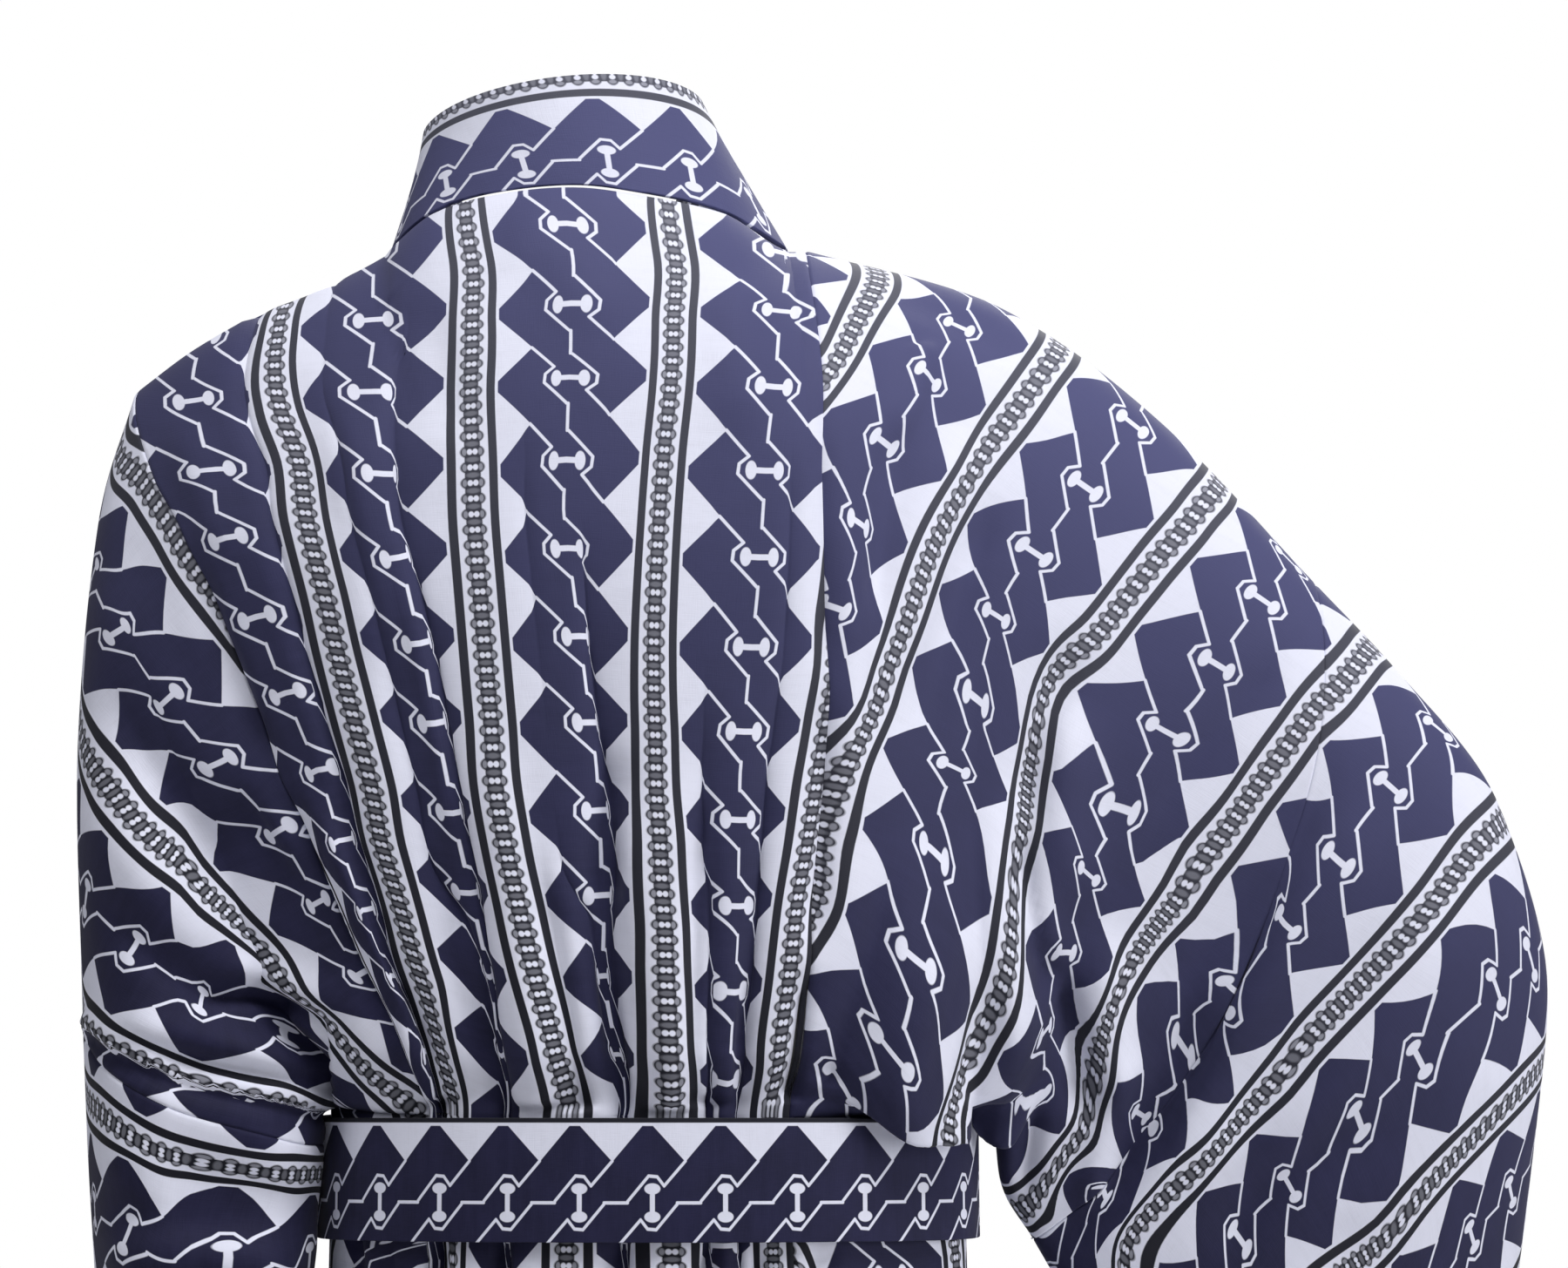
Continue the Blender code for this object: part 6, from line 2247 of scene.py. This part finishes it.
@dataclass
class Knot:
    """The turn of the sash over itself in front."""

    form: RobeForm
    width: float = 0.046
    depth: float = 0.024
    height: float = 0.044
    around: int = 96
    rows: int = 26
    wall: float = 0.0018

    def cloth(self) -> Cloth:
        """Lay out the loop's grid; rows go up and columns go round."""
        middle = self.form.belt(np.array(math.pi - 0.10), np.array(0.5))
        centre = middle + np.array((0.0, -self.depth / 2.0 - 0.0018, 0.0))
        level = np.linspace(-1.0, 1.0, self.rows + 1)
        angles = np.linspace(0.0, 2.0 * math.pi, self.around + 1)
        angle, up = np.meshgrid(angles, level)
        swell = 1.0 - 0.08 * up * up
        x = self.width / 2.0 * swell * signed_power(np.sin(angle), 0.75)
        y = self.depth / 2.0 * swell * signed_power(np.cos(angle), 0.85)
        places = centre + stack(x, y, up * self.height / 2.0 + 0.10 * x)
        folds = 0.0009 * np.sin(11.0 * up + 2.2 * np.sin(angle)) * (1.0 - up * up)
        shown = np.stack([places[..., 2] - centre[2], lengths(places, 1)], axis=-1)
        cloth = Cloth(places, shown, facing=-1.0)
        folds[:, -1] = folds[:, 0]
        cloth.push(folds)
        cloth.places[:, -1] = cloth.places[:, 0]
        return cloth

    def build(self, finishes: Finishes) -> bpy.types.Object:
        """Make the knot."""
        cloth = self.cloth()
        piece = cloth.object("cloth_knot", self.wall, [finishes.face])
        return dress(piece, cloth, "belt_knot")


TAIL_COLUMNS = "drop x y turn"


class Tail(Enum):
    """The two ends of the sash, each with the table of its fall."""

    A = ("belt_tail_a", Table(TAIL_COLUMNS, [
        (0.000, -0.0200, -0.1240, 3.0), (0.028, -0.0215, -0.1262, 3.0), (0.050, -0.0285, -0.1310, 6.0),
        (0.120, -0.0480, -0.1460, 8.0), (0.220, -0.0640, -0.1560, 8.0), (0.330, -0.0740, -0.1660, 6.0)]))
    B = ("belt_tail_b", Table(TAIL_COLUMNS, [
        (0.000, -0.0110, -0.1180, -3.0), (0.040, -0.0060, -0.1215, -6.0), (0.120, 0.0100, -0.1350, -10.0),
        (0.200, 0.0220, -0.1470, -10.0), (0.290, 0.0280, -0.1590, -8.0)]))

    @property
    def node(self) -> str:
        """Name of the solid that this end stands for."""
        return self.value[0]

    @property
    def table(self) -> Table:
        """How this end falls."""
        return self.value[1]


@dataclass
class BeltTail:
    """One end of the sash, which falls from behind the knot."""

    tail: Tail
    width: float = 0.046
    top_z: float = -0.398
    rows: int = 130
    columns: int = 18
    wall: float = 0.0018
    fold: float = 0.0007

    def cloth(self) -> Cloth:
        """Lay out the end's grid, from the knot down."""
        table = self.tail.table
        length = float(table.keys[-1])
        share = spaced(self.columns, self.width, True, True)
        across, drop = np.meshgrid(share - 0.5, np.linspace(0.0, length, self.rows + 1))
        turn = np.radians(table.at("turn", drop))
        open_out = np.minimum(1.0, 0.40 + np.maximum(drop - 0.024, 0.0) / 0.100)
        side = across * self.width * open_out
        curl = 0.003 * np.minimum(1.0, drop / 0.060) * np.cos(3.0 * across + 9.0 * drop)
        places = stack(table.at("x", drop) + side * np.cos(turn),
                       table.at("y", drop) + side * np.sin(turn) - curl, self.top_z - drop)
        pinch = ramp(drop, 0.090, 0.010) * 0.0011 * np.cos(across * 19.0 + 14.0 * drop) * (1.0 - open_out)
        shown = np.stack([across * self.width - 0.009, lengths(places, 0)], axis=-1)
        cloth = Cloth(places, shown, facing=-1.0)
        cloth.push(pinch)
        return cloth

    def build(self, finishes: Finishes) -> bpy.types.Object:
        """Make the end."""
        cloth = self.cloth()
        letter = self.tail.name.lower()
        piece = cloth.object("cloth_tail_" + letter, self.wall, [finishes.face])
        rounded(piece, self.fold)
        return dress(piece, cloth, self.tail.node)


# ------------------------------------------------------------------ studio
@dataclass(frozen=True)
class SoftLight:
    """A large soft light that faces the robe."""

    name: str
    place: tuple[float, float, float]
    size: tuple[float, float]
    power: float
    colour: tuple[float, float, float] = (1.0, 0.985, 0.96)

    def build(self, target: Vector) -> bpy.types.Object:
        """Make the light, aimed at the target."""
        data = bpy.data.lights.new(self.name, "AREA")
        data.shape = "RECTANGLE"
        data.size, data.size_y = self.size
        data.energy = self.power
        data.color = self.colour
        light = bpy.data.objects.new(self.name, data)
        light.location = self.place
        light.rotation_mode = "QUATERNION"
        light.rotation_quaternion = (target - Vector(self.place)).to_track_quat("-Z", "Y")
        bpy.context.scene.collection.objects.link(light)
        return light


@dataclass
class Studio:
    """Camera behind the robe, soft lights, pale ground and floor."""

    camera_at: tuple[float, float, float] = SIGHT.eye
    lens: float = 129.73
    sensor: float = 36.0
    floor_z: float = -1.256
    floor_size: float = 6.0
    floor_colour: tuple[float, float, float] = (0.86, 0.86, 0.87)
    backdrop: tuple[float, float, float] = (1.0, 1.0, 1.0)
    backdrop_strength: float = 1.0
    ambient: tuple[float, float, float] = (0.95, 0.96, 1.0)
    ambient_strength: float = 0.12
    lights: tuple[SoftLight, ...] = (
        SoftLight("key", (-0.45, 1.15, 1.75), (1.1, 1.0), 47.0),
        SoftLight("right", (-1.9, 0.9, -0.1), (0.8, 1.2), 19.0),
        SoftLight("left", (1.7, 0.9, 1.0), (0.8, 1.0), 12.0),
        SoftLight("front", (-0.8, -2.4, 1.6), (2.0, 1.8), 60.0),
    )

    def camera(self) -> None:
        """Place the camera."""
        data = bpy.data.cameras.new("camera")
        data.lens, data.sensor_width = self.lens, self.sensor
        data.clip_start, data.clip_end = 0.05, 60.0
        camera = bpy.data.objects.new("camera", data)
        camera.location = self.camera_at
        camera.rotation_mode = "QUATERNION"
        camera.rotation_quaternion = Vector((0.0, -1.0, 0.0)).to_track_quat("-Z", "Y")
        bpy.context.scene.collection.objects.link(camera)
        bpy.context.scene.camera = camera

    def world(self) -> None:
        """Give the robe soft light from all round, before a white ground."""
        world = bpy.data.worlds.new("studio")
        world.use_nodes = True
        tree = world.node_tree
        soft = tree.nodes["Background"]
        soft.inputs["Color"].default_value = (*self.ambient, 1.0)
        soft.inputs["Strength"].default_value = self.ambient_strength
        seen = tree.nodes.new("ShaderNodeBackground")
        seen.inputs["Color"].default_value = (*self.backdrop, 1.0)
        seen.inputs["Strength"].default_value = self.backdrop_strength
        path = tree.nodes.new("ShaderNodeLightPath")
        mix = tree.nodes.new("ShaderNodeMixShader")
        tree.links.new(path.outputs["Is Camera Ray"], mix.inputs[0])
        tree.links.new(soft.outputs[0], mix.inputs[1])
        tree.links.new(seen.outputs[0], mix.inputs[2])
        tree.links.new(mix.outputs[0], tree.nodes["World Output"].inputs["Surface"])
        bpy.context.scene.world = world

    def floor(self) -> None:
        """Make the plain pale floor."""
        builder = bmesh.new()
        bmesh.ops.create_grid(builder, x_segments=1, y_segments=1, size=self.floor_size / 2.0)
        for vert in builder.verts:
            vert.co.z = self.floor_z
        mesh = bpy.data.meshes.new("floor")
        builder.to_mesh(mesh)
        builder.free()
        material = bpy.data.materials.new("floor")
        material.use_nodes = True
        shader = material.node_tree.nodes["Principled BSDF"]
        shader.inputs["Base Color"].default_value = (*self.floor_colour, 1.0)
        shader.inputs["Roughness"].default_value = 0.9
        mesh.materials.append(material)
        floor = bpy.data.objects.new("floor", mesh)
        bpy.context.scene.collection.objects.link(floor)

    def build(self) -> None:
        """Set up the whole studio."""
        self.camera()
        self.world()
        self.floor()
        target = Vector((-0.05, 0.0, -0.25))
        for light in self.lights:
            light.build(target)
        view = bpy.context.scene.view_settings
        view.view_transform = "Standard"
        view.look = "None"


def main() -> None:
    """Build the robe piece by piece, then the studio."""
    logging.basicConfig(level=logging.INFO, format="%(name)s: %(message)s")
    Studio().build()
    form = RobeForm()
    printed, weave = ChainPrint().build(), CottonWeave().build()
    face = PrintedCotton("printed_cotton_face").build(printed, weave)
    reverse = PrintedCotton("printed_cotton_reverse", strength=0.55).build(printed, weave)
    double = PrintedCotton("printed_cotton_band").build(printed, weave)
    body, bands = Finishes(face, reverse), Finishes(double, double)
    BackPanel(form).build(body)
    for side in Side:
        FrontPanel(form, side).build(body)
        SideStrip(form, side).build(body)
        Sleeve(form, side).build(body)
    Collar(form).build(bands)
    Belt(form).build(bands)
    Knot(form).build(bands)
    for tail in Tail:
        BeltTail(tail).build(bands)


if __name__ == "__main__":
    main()
